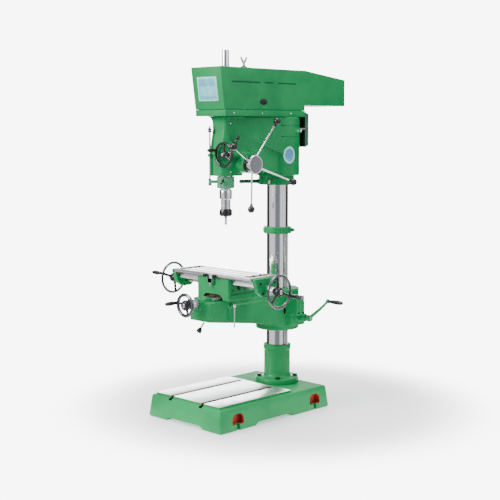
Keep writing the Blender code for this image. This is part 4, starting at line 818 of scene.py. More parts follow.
def build_table():
    low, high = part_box("table")
    middle = JOINT["table_turn"].y
    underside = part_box("saddle")[1].z + 0.0005
    slab = plain_object("table_slab", block((low.x, low.y, underside), high))
    round_edges(slab, 0.0022, 3)
    tail = prism([(middle - 0.050, underside + 0.006), (middle - 0.0505, underside - 0.0005),
        (middle - 0.0600, low.z), (middle + 0.0600, low.z), (middle + 0.0505, underside - 0.0005),
        (middle + 0.050, underside + 0.006)], "X", low.x + 0.004, high.x - 0.004)
    combine(slab, tail, "UNION")
    above, neck, floor = high.z + 0.01, high.z - 0.0085, high.z - 0.0160
    slots = [middle + k * TABLE_SLOT_SPACING for k in (-1, 0, 1)]
    cuts = []
    for y in slots:
        tee = [(y - 0.008, above), (y - 0.008, high.z), (y - 0.006, high.z - 0.0015), (y - 0.006, neck),
            (y - 0.010, neck), (y - 0.010, floor), (y + 0.010, floor), (y + 0.010, neck), (y + 0.006, neck),
            (y + 0.006, high.z - 0.0015), (y + 0.008, high.z), (y + 0.008, above)]
        cuts.append(prism(tee, "X", -0.281, 0.281))
    front, rear = low.y + 0.010, high.y - 0.010
    for near, far in ((front, front + 0.008), (rear - 0.008, rear)):
        cuts.append(block((-TABLE_TROUGH_END, near, high.z - 0.0045), (TABLE_TROUGH_END, far, above)))
    for side in (-1, 1):
        near, far = sorted((side * 0.234, side * (TABLE_TROUGH_END + 0.0003)))
        cuts.append(block((near, front - 0.0003, high.z - 0.0100), (far, rear + 0.0003, above)))
    cuts.append(block((-0.290, low.y - 0.01, underside + 0.0012),
        (0.290, low.y + 0.003, underside + 0.0045)))

    def in_slot(centre, _):
        beside = min(abs(centre.y - y) for y in slots)
        return floor - 0.0002 < centre.z < high.z - 0.0002 and beside < 0.0101 and abs(centre.x) < 0.2815

    def in_trough(centre, _):
        inside = front - 0.0005 < centre.y < rear + 0.0005 and abs(centre.x) < TABLE_TROUGH_END + 0.0005
        return inside and high.z - 0.0105 < centre.z < high.z - 0.0002

    def in_groove(centre, _):
        """The long groove in the table's front edge."""
        inside = low.y + 0.0002 < centre.y < low.y + 0.0035
        return inside and underside + 0.001 < centre.z < underside + 0.0048

    piece("table_top", "table", GROUND, [joined_from(slab)], cut=cuts, replaces=["table"], others=[
        (BLUSH, in_trough), (RUST, in_slot), (RUST, in_groove)])

    for side, name in ((-1, "left"), (1, "right")):
        near = side * 0.3003
        far = side * 0.330
        outline = [(low.y + 0.006, 0.7980), (high.y - 0.006, 0.7980), (high.y - 0.030, 0.7250),
                   (middle + 0.032, 0.6980), (middle - 0.032, 0.6980), (low.y + 0.030, 0.7250)]
        plate = prism(soften(outline, 0.008, 4, closed=True), "X", *sorted((near, far)))
        boss = rod(on_screw(side * 0.310), on_screw(side * 0.3477), 0.0262, edge=0.003, sides=56)
        hole = rod(on_screw(side * 0.28), on_screw(side * 0.40), 0.0112, sides=40)
        piece(f"{name}_end_bracket", "table", GREEN, [plate, boss], voxel=0.0020, cut=[hole],
            replaces=[f"{name}_bracket"])
        screws = []
        for y, z in ((-0.053, 0.772), (0.053, 0.772), (-0.034, 0.718), (0.034, 0.718)):
            screws.append(cap_screw((far - side * 0.0006, middle + y, z), (side, 0, 0), 0.0055))
        piece(f"{name}_bracket_screws", "table", BLACK_STEEL, screws)


def on_screw(x):
    """The point of the table screw's axis at x."""
    axis = JOINT["table_turn"]
    return Vector((x, axis.y, axis.z))


# Handwheels

def handwheel(name, body, node, centre, outward, radius, rim, hub_radius, bore, spoke_turn, grip_turn):
    """A rim, a black spider of three spokes and the boss of a grip; turns are measured from straight up."""
    out = Vector(outward)
    middle = Vector(centre)
    third = out.cross(UP)
    ring = radius - rim

    def spot(turn, reach):
        return middle + (UP * math.cos(turn) + third * math.sin(turn)) * reach

    # The rim is chrome painted darker as painted shade.
    piece(f"{name}_rim", body, SHADED_CHROME, [torus(middle, out, ring, rim, 112, 24, 0.92)], replaces=[node])
    hub = turned(soften([(bore, -0.026), (hub_radius * 0.82, -0.026), (hub_radius, -0.012),
        (hub_radius, 0.004), (hub_radius * 0.8, 0.013), (bore, 0.013)], 0.004), middle, out, 48)
    shapes = [hub]
    for k in range(3):
        turn = spoke_turn + k * 2 * math.pi / 3
        along = (spot(turn, 1.0) - middle).normalized()
        side = along.cross(out)
        rings = []
        for step in range(9):
            share = step / 8
            reach = hub_radius * 0.7 + (ring - hub_radius * 0.7) * share
            swell = 1.0 + 0.35 * (2 * share - 1) ** 2
            wide, deep = (0.0085 - 0.0018 * share) * swell, 0.0055 * swell
            line = middle + along * reach + out * (-0.007 * (1 - share))
            rings.append([line + side * wide * math.cos(a) + out * deep * math.sin(a) for a in circle(20)])
        shapes.append(loft(rings))
    boss = spot(grip_turn, ring)
    shapes.append(rod(boss - out * (rim * 0.6), boss + out * (rim + 0.0025), 0.0088, edge=0.001))
    piece(f"{name}_spider", body, BLACK, shapes)
    pin = rod(boss, boss + out * 0.0925, 0.0040, sides=24)
    cap = turned(soften([(bore, 0.0125), (0.0125, 0.0125), (0.0120, 0.0165), (bore, 0.0170)], 0.001),
        middle, out, 40)
    piece(f"{name}_trim", body, CHROME, [pin, cap])


def dial(name, body, centre, outward, start, end, radius, small):
    """A graduated ring, its own Z axis along the shaft so that the lines run round it."""
    profile = soften([(0.0105, start), (radius, start), (radius, start + (end - start) * 0.45),
        (small, end), (0.0105, end)], 0.0015)
    made = piece(name, body, DIAL, [turned(profile, (0, 0, 0), UP, 96)])
    turn = UP.rotation_difference(Vector(outward)).to_matrix().to_4x4()
    made.matrix_world = Matrix.Translation(centre) @ turn
    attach(made, body)
    knurl = []
    along, across, third = basis(outward)
    for angle in circle(36):
        spot = Vector(centre) + (across * math.cos(angle) + third * math.sin(angle)) * (radius * 0.985)
        knurl.append(rod(spot + along * (start + 0.0006), spot + along * (start + (end - start) * 0.26),
            0.0013, sides=8))
    piece(f"{name}_knurl", body, CHROME, knurl)


def turn_of(arm, out):
    """How far an arm of a wheel that faces out is turned from straight up."""
    return math.atan2(arm.dot(out.cross(UP)), arm.z)


def build_table_drive():
    dress("table_screw", STEEL)
    for side, name, turn in ((-1, "left", 50), (1, "right", 10)):
        foot = JOINT[f"{name}_grip_spin"]
        out = Vector((side, 0, 0))
        centre = on_screw(foot.x)
        handwheel(f"{name}_wheel", "table_feed", f"{name}_handwheel", centre, out, 0.0925, 0.0075, 0.026,
            0.0088, math.radians(turn), turn_of(foot - centre, out))
        build_grip(f"{name}_wheel_grip", f"{name}_handle", f"{name}_grip", foot, out, 0.011, 0.090, 0.0115)
        dial(f"{name}_dial", "table_feed", on_screw(side * 0.3490), out, 0.0, 0.036, 0.0250, 0.0195)


def build_cross_drive():
    axis = JOINT["cross_turn"]
    foot = JOINT["cross_grip_spin"]
    out = Vector((0, -1, 0))
    handwheel("cross_wheel", "cross_feed", "cross_handwheel", axis, out, 0.066, 0.0095, 0.028, 0.0083,
              math.radians(80), turn_of(foot - axis, out))
    build_grip("cross_wheel_grip", "cross_handle", "cross_grip", foot, out, 0.011, 0.090, 0.0115)
    dial("cross_dial", "cross_feed", (axis.x, axis.y + 0.082, axis.z), out, 0.0, 0.050, 0.0240, 0.0180)
    dress("cross_screw", STEEL)


# Head

def bores(steps, start, direction):
    """A cutter of coaxial bores, each (radius, from, to) along the line."""
    profile = [(0, steps[0][1])]
    for radius, low, high in steps:
        profile += [(radius, low), (radius, high)]
    profile.append((0, steps[-1][2]))
    return turned(profile, start, direction, 64)


def head_nose(top):
    """The spindle housing, spread towards its foot and curved outward at its top."""
    rear = -0.340
    plain = [(-0.0450, -0.467), (0.0450, -0.467), (0.0575, -0.451), (0.0615, rear), (-0.0615, rear),
        (-0.0575, -0.451)]
    foot = [(-0.0540, -0.480), (0.0340, -0.480), (0.0575, -0.445), (0.0615, rear), (-0.0680, rear),
        (-0.0675, -0.464)]
    levels = [(1.327, foot), (1.460, foot), (1.576, plain)]
    for z, spread in ((1.610, 0.0), (1.628, 0.003), (1.638, 0.008), (1.644, 0.015), (top, 0.022)):
        outline = []
        for x, y in plain:
            outline.append((x + math.copysign(spread * 0.8, x), y - (spread if y < rear else 0.0)))
        levels.append((z, outline))
    return loft([[(x, y, z) for x, y in soften(outline, 0.010, 5, closed=True)] for z, outline in levels])


def build_head():
    low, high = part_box("head")
    spindle = JOINT["spindle_spin"]
    feed = JOINT["capstan_turn"]
    fine = JOINT["fine_feed_turn"]
    clamp = JOINT["head_clamp_turn"]
    idler = JOINT["idler_spin"]
    selector = JOINT["feed_selector_turn"]
    stop = upright_axis("depth_stop_rod")
    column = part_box("column")[1]
    web = prism([(-0.0620, -0.400), (0.0620, -0.400), (0.0884, -0.060), (-0.0884, -0.060)], "Z", 1.341,
        1.620)
    hub = turned(soften([(0, HEAD_BOTTOM), (HEAD_HUB_RADIUS, HEAD_BOTTOM), (HEAD_HUB_RADIUS, high.z),
        (0, high.z)], 0.004), (0, 0, 0), UP, RADIAL_SIDES)
    seat = turned(soften([(0, low.z), (0.095, low.z), (0.095, 1.330), (0, 1.330)], 0.003), (0, 0, 0), UP,
        RADIAL_SIDES)
    slim, wide = 0.052, 0.112
    shoulder = loft([
        [(-slim, -0.462, 1.586), (slim, -0.462, 1.586), (wide, -0.050, 1.430), (-wide, -0.050, 1.430)],
        [(-slim, -0.462, high.z), (slim, -0.462, high.z), (wide, -0.050, high.z), (-wide, -0.050, high.z)]])
    shapes = [
        head_nose(high.z), web, hub, seat, shoulder,
        rod((-0.070, feed.y, feed.z), (0.126, feed.y, feed.z), 0.0475, sides=72, edge=0.003),
        rod((fine.x, -0.310, fine.z), (fine.x, -0.462, fine.z), 0.0185, sides=40, edge=0.002),
        rod((0.045, selector.y, selector.z), (0.067, selector.y, selector.z), 0.0140, edge=0.002),
        block((stop.x - 0.010, stop.y - 0.010, 1.430), (stop.x + 0.010, -0.460, 1.448)),
        block((-0.030, -0.127, 1.268), (0.030, -0.075, 1.330)),
    ]
    for turn in HUB_LUG_TURNS:
        spot = round_the_column(turn, 0.118, HUB_LUG_HEIGHT)
        shapes.append(rod(spot, spot + round_the_column(turn, 0.011, 0.0), 0.0125, edge=0.002))
    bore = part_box("quill")[1].x + CLEAR
    cuts = [block((-0.2, -0.6, high.z - 0.0004), (0.2, 0.2, high.z + 0.05)),
        bores([(0.0130, -0.200, -0.0145), (0.0235, -0.0145, 0.0145), (0.0130, 0.0145, 0.0615),
        (0.0415, 0.0615, 0.200)], (0, feed.y, feed.z), RIGHT),
        bores([(bore, 1.200, 1.545), (0.0240, 1.545, 1.6055), (0.0350, 1.6055, 1.70)], (0, spindle.y, 0),
        UP), rod((0, 0, 1.20), (0, 0, column.z + 0.0003), column.x + CLEAR, sides=144),
        bores([(0.0141, 0.325, 0.400), (0.0088, 0.400, 0.500)], (fine.x, 0, fine.z), -BACK),
        rod(stop + UP * 1.40, stop + UP * 1.46, 0.0055),
        rod((0, idler.y, 1.600), (0, idler.y, 1.700), 0.0104),
        block((-0.0025, -0.200, 1.20), (0.0025, -0.050, 1.318)),
        rod((-0.10, clamp.y, clamp.z), (0.10, clamp.y, clamp.z), 0.0067)]
    for z in (1.5380, 1.6010):
        groove = [(0.1235, z - 0.0010), (0.135, z - 0.0035), (0.135, z + 0.0035), (0.1235, z + 0.0010)]
        cuts.append(turned(groove, (0, 0, 0), UP, RADIAL_SIDES))
    for x in (-PLATE_ROD_X, PLATE_ROD_X):
        cuts.append(rod((x, 0.020, PLATE_ROD_HEIGHT), (x, 0.160, PLATE_ROD_HEIGHT), 0.0086))
    axis = Vector((0, spindle.y))
    piece("head_casting", "head", GREEN, shapes, voxel=0.0031, cut=cuts, replaces=["head"], others=[
        (STEEL, lambda c, n: (c.xy - axis).length < bore + 0.001 and c.z < 1.545)])

    screws = []
    for turn in HUB_LUG_TURNS:
        spot = round_the_column(turn, 0.1288, HUB_LUG_HEIGHT)
        screws.append(cap_screw(spot, round_the_column(turn, 1.0, 0.0), 0.0068))
    for z in (1.350, 1.610):
        screws.append(cap_screw((0.0581, -0.435, z), RIGHT, 0.0042))
    piece("head_screws", "head", CHROME, screws, slot="machined_steel")
    build_badge(math.radians(-15), 1.435, 0.0380, 0.0480)


def build_badge(middle, height, half_width, half_height):
    """A blank oval badge that follows the hub's round face."""
    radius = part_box("head")[1].x

    def ring(scale, proud):
        points = []
        for angle in circle(72):
            turn = middle + scale * half_width * math.cos(angle) / radius
            points.append(round_the_column(turn, radius + proud,
                height + scale * half_height * math.sin(angle)))
        return points

    steps = [(1.0, -0.0010), (1.0, 0.0014), (0.97, 0.0020), (0.76, 0.0020), (0.74, 0.0014), (0.40, 0.0014),
        (0.05, 0.0014)]
    border = loft([ring(scale, proud) for scale, proud in steps])
    axis = round_the_column(middle, 1.0, 0)

    def in_field(centre, normal):
        across = radius * (math.atan2(centre.y, centre.x) - middle)
        inside = (across / half_width) ** 2 + ((centre.z - height) / half_height) ** 2 < 0.56
        return inside and normal.dot(axis) > 0.5

    piece("blank_badge", "head", PLATE_EDGE, [border], sharp=50, others=[(BADGE_BLUE, in_field)])


def build_quill():
    low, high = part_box("quill")
    axis = JOINT["spindle_spin"]
    feed = JOINT["capstan_turn"]
    radius = high.x
    line = axis.y + radius - 0.0030
    tube = turned([(0.0262, low.z), (radius - 0.0006, low.z), (radius, low.z + 0.0006), (radius, high.z),
        (0.0262, high.z), (0.0262, 1.508), (0.0190, 1.507), (0.0190, 1.281), (0.0262, 1.280)],
        (0, axis.y, 0), UP, 96)
    gaps = [block((-0.0125, line + 0.0024, 1.372), (0.0125, line + 0.030, 1.540))]
    for k in range(-1, 19):
        z = feed.z + k * TOOTH_PITCH
        narrow, wide = 0.22 * TOOTH_PITCH, 0.37 * TOOTH_PITCH
        if 1.372 + 0.36 * TOOTH_PITCH < z < 1.540 - 0.36 * TOOTH_PITCH:
            gap = [(line - 0.0028, z - narrow), (line + 0.0030, z - wide), (line + 0.0030, z + wide),
                   (line - 0.0028, z + narrow)]
            gaps.append(prism(gap, "X", -0.0125, 0.0125))
    piece("quill_sleeve", "quill", CHROME, [tube], cut=gaps, replaces=["quill"], slot="machined_steel")

    stop = upright_axis("depth_stop_rod")
    seat = JOINT["collar_clamp_turn"]
    way = AXIS["collar_clamp_turn"]
    inner = radius + 0.0004
    collar = soften([(inner, 1.2602), (0.0450, 1.2602), (0.0480, 1.2640), (0.0480, 1.3238),
        (inner, 1.3238)], 0.0015)
    outline = [(-0.0420, -0.4300), (-0.0160, -0.4560), (stop.x + 0.0110, stop.y - 0.0020),
        (stop.x, stop.y - 0.0110), (stop.x - 0.0110, stop.y - 0.0020)]
    arm = prism(soften(outline, 0.006, 4, closed=True), "Z", 1.2882, 1.3038)
    bored = rod((0, axis.y, 1.25), (0, axis.y, 1.34), inner, sides=96)
    eye = rod(stop + UP * 1.25, stop + UP * 1.35, 0.0054)
    tapped = rod(seat + way * 0.030, seat + way * 0.070, 0.0056)
    piece("depth_stop_bracket", "quill", PALE_GREEN, [turned(collar, (0, axis.y, 0), UP, 96), arm],
        voxel=0.0015, passes=3, cut=[bored, eye, tapped], replaces=["depth_stop_arm"])

    shank = [(0, 1.2750), (0.0050, 1.2750)]
    threads = 150
    for k in range(threads + 1):
        z = 1.277 + (1.557 - 1.277) * k / threads
        shank.append((0.0050 if k % 2 else 0.0044, z))
    shank += [(0.0048, 1.562), (0.0050, 1.596), (0, 1.596)]
    nuts = []
    for z, deep in ((1.2750, 0.0125), (1.3044, 0.0078)):
        nuts.append(turned([(0.0046, z), (0.0090, z), (0.0090, z + deep), (0.0046, z + deep)], stop, UP, 6))
    piece("depth_stop_screw_rod", "quill", STEEL, [turned(shank, stop, UP, 24), *nuts],
        replaces=["depth_stop_rod"], sharp=25)
    nuts = []
    for z in (1.5625, 1.5737):
        nuts.append(turned(soften([(0, z), (0.0103, z), (0.0103, z + 0.0100), (0, z + 0.0100)], 0.001),
            stop, UP, 48))
        for angle in circle(24):
            spot = stop + round_the_column(angle, 0.0101, z + 0.0018)
            nuts.append(rod(spot, spot + UP * 0.0064, 0.0006, sides=6))
    piece("depth_stop_nuts", "quill", BLACK_STEEL, nuts)

    stem = rod(seat + way * 0.0392, seat + way * 0.066, 0.0048, sides=24)
    lean = UP * 0.866 - way.cross(UP) * 0.500
    bar = soften([(0, -0.0170), (0.0052, -0.0170), (0.0069, -0.0120), (0.0058, 0.0), (0.0069, 0.0120),
        (0.0052, 0.0170), (0, 0.0170)], 0.003)
    knob = turned(bar, seat + way * 0.066, lean, 32)
    piece("collar_clamp_knob", "collar_clamp", BLACK, [stem, knob], replaces=["collar_clamp_screw"])
    for node in ("spindle_bearing_lower", "spindle_bearing_upper", "drive_bearing"):
        dress(node, STEEL)


def build_spindle():
    axis = JOINT["spindle_spin"]
    start = (0, axis.y, 0)
    shaft = [(0, 1.1982), (0.0290, 1.1982), (0.0335, 1.2030), (0.0350, 1.2100), (0.0350, 1.2460),
        (0.0320, 1.2530), (0.0250, 1.2568), (0.0150, 1.2572), (0.0150, 1.5250), (0.0125, 1.5270),
        (0.0125, 1.9540), (0, 1.9550)]
    piece("spindle_shaft", "spindle", CHROME, [turned(shaft, start, UP, 72)], replaces=["spindle"],
        slot="machined_steel", sharp=50)
    chuck = [(0.0089, 1.1300), (0.0222, 1.1300), (0.0222, 1.1462), (0.0255, 1.1463), (0.0267, 1.1475),
        (0.0267, 1.1660), (0.0255, 1.1668), (0.0255, 1.1690), (0.0267, 1.1698), (0.0267, 1.1962),
        (0.0255, 1.1974), (0.0089, 1.1974)]
    piece("chuck_body", "spindle", CHROME, [turned(chuck, start, UP, 72)], replaces=["collet_chuck"])
    nut = [(0.0120, 1.1082), (0.0300, 1.1082), (0.0345, 1.1125), (0.0350, 1.1180), (0.0350, 1.1390),
        (0.0325, 1.1455), (0.0229, 1.1455), (0.0229, 1.1290), (0.0120, 1.1290)]
    notches = []
    for k in range(6):
        way = round_the_column(k * math.pi / 3, 0.0368, 0)
        notches.append(rod(Vector((0, axis.y, 1.095)) + way, Vector((0, axis.y, 1.131)) + way, 0.0050,
            sides=24))
    piece("chuck_nut", "spindle", BLACK_STEEL, [turned(nut, start, UP, 72)], cut=notches,
        replaces=["collet_nut"], slot="black_plastic")
    shank = turned([(0, 1.1000), (0.0084, 1.1000), (0.0084, 1.1965), (0, 1.1965)], start, UP, 40)
    rings = []
    for step in range(26):
        z = 1.0602 + 0.0410 * step / 25
        twist = 2.2 * math.pi * (z - 1.0602) / 0.048
        fade = min(1.0, (1.1005 - z) / 0.006) if z < 1.1005 else 0.0
        ring = []
        for angle in circle(48):
            share = (angle - twist) / (math.pi / 2) % 1.0
            reach = 0.0084 - 0.0034 * fade * math.sin(math.pi * share) ** 0.7
            ring.append((reach * math.cos(angle), axis.y + reach * math.sin(angle), z))
        rings.append(ring)
    piece("milling_cutter", "spindle", STEEL, [shank, loft(rings)], replaces=["end_mill"], sharp=40)


def build_feed():
    axis = JOINT["capstan_turn"]
    start = (0, axis.y, axis.z)
    cover = soften([(0.0127, 0.1264), (0.0473, 0.1264), (0.0473, 0.1325), (0.0415, 0.1378),
        (0.0127, 0.1378)], 0.0012)
    piece("feed_cover_ring", "head", BLACK_STEEL, [turned(cover, start, RIGHT, 96)],
        replaces=["feed_cover"], slot="black_plastic")
    screws = []
    for angle in turns(3, 30):
        spot = Vector((0.1370, axis.y + 0.036 * math.cos(angle), axis.z + 0.036 * math.sin(angle)))
        screws.append(cap_screw(spot, RIGHT, 0.0028))
    piece("feed_cover_screws", "head", STEEL, screws)

    near, far = -0.0703, -0.1060
    cup = soften([(0.0130, near), (0.0410, near), (0.0410, far + 0.003), (0.0380, far), (0.0130, far),
        (0.0130, far + 0.0028), (0.0385, far + 0.0028), (0.0385, near - 0.0035), (0.0130, near - 0.0035)],
        0.0008, 2)
    piece("spring_case", "head", GREEN, [turned(cup, start, RIGHT, 96)], replaces=["return_spring_case"])
    trim = [turned(soften([(0, far - 0.0030), (0.0125, far - 0.0030), (0.0160, far - 0.0002),
        (0, far - 0.0002)], 0.001), start, RIGHT, 40)]
    for angle in turns(3, 90):
        spot = Vector((far + 0.0006, axis.y + 0.031 * math.cos(angle), axis.z + 0.031 * math.sin(angle)))
        trim.append(cap_screw(spot, -RIGHT, 0.0030))
    piece("spring_case_trim", "head", BLACK_STEEL, trim)
    dress("return_spring", STEEL)
    dress("feed_pinion", STEEL)

    sleeve = [(0.0126, 0.1391), (0.0240, 0.1391), (0.0240, 0.1491), (0.0440, 0.1502), (0.0530, 0.1540),
        (0.0530, 0.1760), (0.0500, 0.1798), (0.0455, 0.1798), (0.0448, 0.1788), (0.0126, 0.1788)]
    feet = []
    for angle in turns(4, 67):
        way = Vector((0, math.cos(angle), math.sin(angle)))
        foot = Vector((0.1590, axis.y, axis.z)) + way * 0.030
        tip = Vector((CAPSTAN_BALL[0], axis.y, axis.z)) + way * CAPSTAN_BALL[1]
        feet.append((foot, tip))
    holes = [rod(foot, foot + (tip - foot) * 0.3, 0.0053, sides=40) for foot, tip in feet]

    def on_dished_face(centre, normal):
        reach = math.hypot(centre.y - axis.y, centre.z - axis.z)
        return normal.x > 0.8 and centre.x > 0.17 and reach < 0.0446

    piece("capstan_disc", "quill_feed", CHROME, [turned(soften(sleeve, 0.0012), start, RIGHT, 112)],
        cut=holes, replaces=["capstan_hub"], others=[(GREY_FACE, on_dished_face)])
    cap = soften([(0, 0.1785), (0.0165, 0.1785), (0.0165, 0.1800), (0.0145, 0.1806), (0.0060, 0.1806),
        (0.0055, 0.1796), (0, 0.1796)], 0.0008)
    piece("capstan_cap", "quill_feed", GREY_FACE, [turned(cap, start, RIGHT, 56)])
    for k, (foot, tip) in enumerate(feet):
        line = (tip - foot).normalized()
        length = (tip - foot).length
        bar = turned([(0, 0.0004), (0.0048, 0.0004), (0.0048, length - 0.030), (0, length - 0.030)], foot,
            line, 40)
        piece(f"capstan_bar_{k + 1}", "quill_feed", CHROME, [bar])
        knob = [(0, -0.0315), (0.0070, -0.0315), (0.0078, -0.0270), (0.0096, -0.0185)]
        for step in range(3, 15):
            turn = math.pi * step / 14
            knob.append((0.0193 * math.sin(turn), -0.0193 * math.cos(turn)))
        knob[-1] = (0, 0.0193)
        piece(f"capstan_knob_{k + 1}", "quill_feed", BLACK, [turned(soften(knob, 0.002, 2), tip, line, 48)],
            replaces=[f"capstan_handle_{k + 1}"], sharp=60)


def build_fine_feed():
    centre = JOINT["fine_feed_turn"]
    ring = 0.0625  # the rim's middle line
    out = -BACK
    dress("fine_worm_shaft", STEEL)
    shapes = [torus(centre, out, ring, 0.0075, 112, 24)]
    shapes.append(turned(soften([(0.0084, -0.030), (0.0150, -0.030), (0.0190, -0.010), (0.0190, 0.008),
        (0.0150, 0.012), (0.0084, 0.012)], 0.003), centre, out, 48))
    for angle in turns(3, 90):
        way = Vector((math.cos(angle), 0, math.sin(angle)))
        shapes.append(rod(centre + way * 0.013, centre + way * ring, 0.0068, 0.0052, sides=32))
    angle = math.radians(158)
    foot = centre + Vector((math.cos(angle), 0, math.sin(angle))) * ring
    piece("fine_wheel", "fine_feed", BLACK, shapes, replaces=["fine_handwheel"])
    handle = [(0, 0.002), (0.0050, 0.002), (0.0050, 0.010), (0.0075, 0.014), (0.0095, 0.040),
        (0.0085, 0.060), (0.0050, 0.066), (0, 0.066)]
    piece("fine_wheel_handle", "fine_feed", BLACK, [turned(soften(handle, 0.003), foot, out, 32)])
    nut = soften([(0, 0.0120), (0.0080, 0.0120), (0.0080, 0.0165), (0, 0.0170)], 0.001)
    collar = soften([(0.0083, -0.0325), (0.0165, -0.0325), (0.0165, -0.0302), (0.0083, -0.0302)], 0.0006)
    piece("fine_wheel_trim", "fine_feed", CHROME,
        [turned(nut, centre, out, 32), turned(collar, centre, out, 40)])


def build_head_levers():
    foot = JOINT["feed_selector_turn"]
    middle = foot + RIGHT * 0.012
    tip = middle + Vector((0.010, 0.012, 0.034))
    line = (tip - middle).normalized()
    boss = rod(foot + RIGHT * 0.0003, foot + RIGHT * 0.018, 0.0110, edge=0.0015)
    arm = rod(middle, tip, 0.0046, 0.0054, sides=24)
    knob = turned(soften([(0, -0.012), (0.0064, -0.012), (0.0104, -0.003), (0.0104, 0.004),
        (0.0068, 0.0100), (0, 0.0104)], 0.003), tip, line, 32)
    piece("selector_lever", "feed_selector", BLACK, [boss, arm, knob], replaces=["feed_selector_lever"])

    middle = JOINT["head_clamp_turn"]
    boss = turned(soften([(0, -0.0100), (0.0140, -0.0100), (0.0140, 0.0135), (0, 0.0135)], 0.002), middle,
        RIGHT, 48)
    bolt = rod(middle, (0.040, middle.y, middle.z), 0.0060, sides=32)
    tip = middle + Vector((0, -0.145, 0.004))
    line = (tip - middle).normalized()
    bar = [(0, 0.004), (0.0112, 0.006), (0.0106, 0.110), (0.0104, 0.130), (0.0113, 0.140), (0.0106, 0.150),
        (0, 0.1555)]
    piece("clamp_lever", "head_clamp", DARK_GREEN, [boss, turned(soften(bar, 0.004), middle, line, 36)],
        replaces=["head_clamp_lever"])
    nut = turned(soften([(0, 0), (0.0110, 0), (0.0110, 0.0100), (0, 0.0104)], 0.0006),
        (0.0304, middle.y, middle.z), RIGHT, 6)
    piece("clamp_bolt", "head_clamp", STEEL, [bolt, nut], sharp=25)


# Belt drive, guard and motor plate

def build_drive():
    spindle = JOINT["spindle_spin"]
    idler = JOINT["idler_spin"]
    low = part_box("idler_pulley")[0].z

    def stepped(order, bore):
        profile = [(bore, low)]
        for k, radius in enumerate(order):
            z = low + k * PULLEY_STEP
            profile += [(radius, z), (radius, z + 0.0060), (radius - 0.009, z + 0.0125),
                (radius - 0.009, z + 0.0175), (radius, z + 0.0240), (radius, z + 0.0300)]
        profile.append((bore, profile[-1][1]))
        return soften(profile, 0.0008, 2)

    sleeve = turned([(0.0130, 1.5600), (0.0200, 1.5600), (0.0200, 1.7970), (0.0130, 1.7970)],
        (0, spindle.y, 0), UP, 56)
    piece("driven_pulley", "drive_pulley", GROUND,
        [turned(stepped(PULLEY_RADII, 0.0150), (0, spindle.y, 0), UP, 112), sleeve],
        replaces=["spindle_pulley"], sharp=25)
    piece("idle_pulley", "idler", GROUND,
        [turned(stepped(PULLEY_RADII[::-1], 0.0103), (0, idler.y, 0), UP, 112)], replaces=["idler_pulley"],
        sharp=25)
    piece("idler_post", "head", STEEL,
        [rod((0, idler.y, 1.6012), (0, idler.y, 1.8200), 0.0100, sides=48, edge=0.001)],
        replaces=["idler_shaft"])

    middle = low + PULLEY_STEP + 0.015
    inside = PULLEY_RADII[1] - 0.0078
    section = [(0, -0.0020), (0.0072, -0.0073), (0.0078, -0.0066), (0.0078, 0.0066), (0.0072, 0.0073),
        (0, 0.0020)]
    rings = []
    for centre, start in ((idler.y, 0.0), (spindle.y, math.pi)):
        for k in range(49):
            angle = start + math.pi * k / 48
            way = Vector((math.cos(angle), math.sin(angle), 0))
            spot = Vector((0, centre, middle))
            rings.append([spot + way * (inside + a) + UP * b for a, b in section])
    piece("vee_belt", "head", RUBBER, [loft(rings, closed=True)], replaces=["drive_belt"], sharp=30)


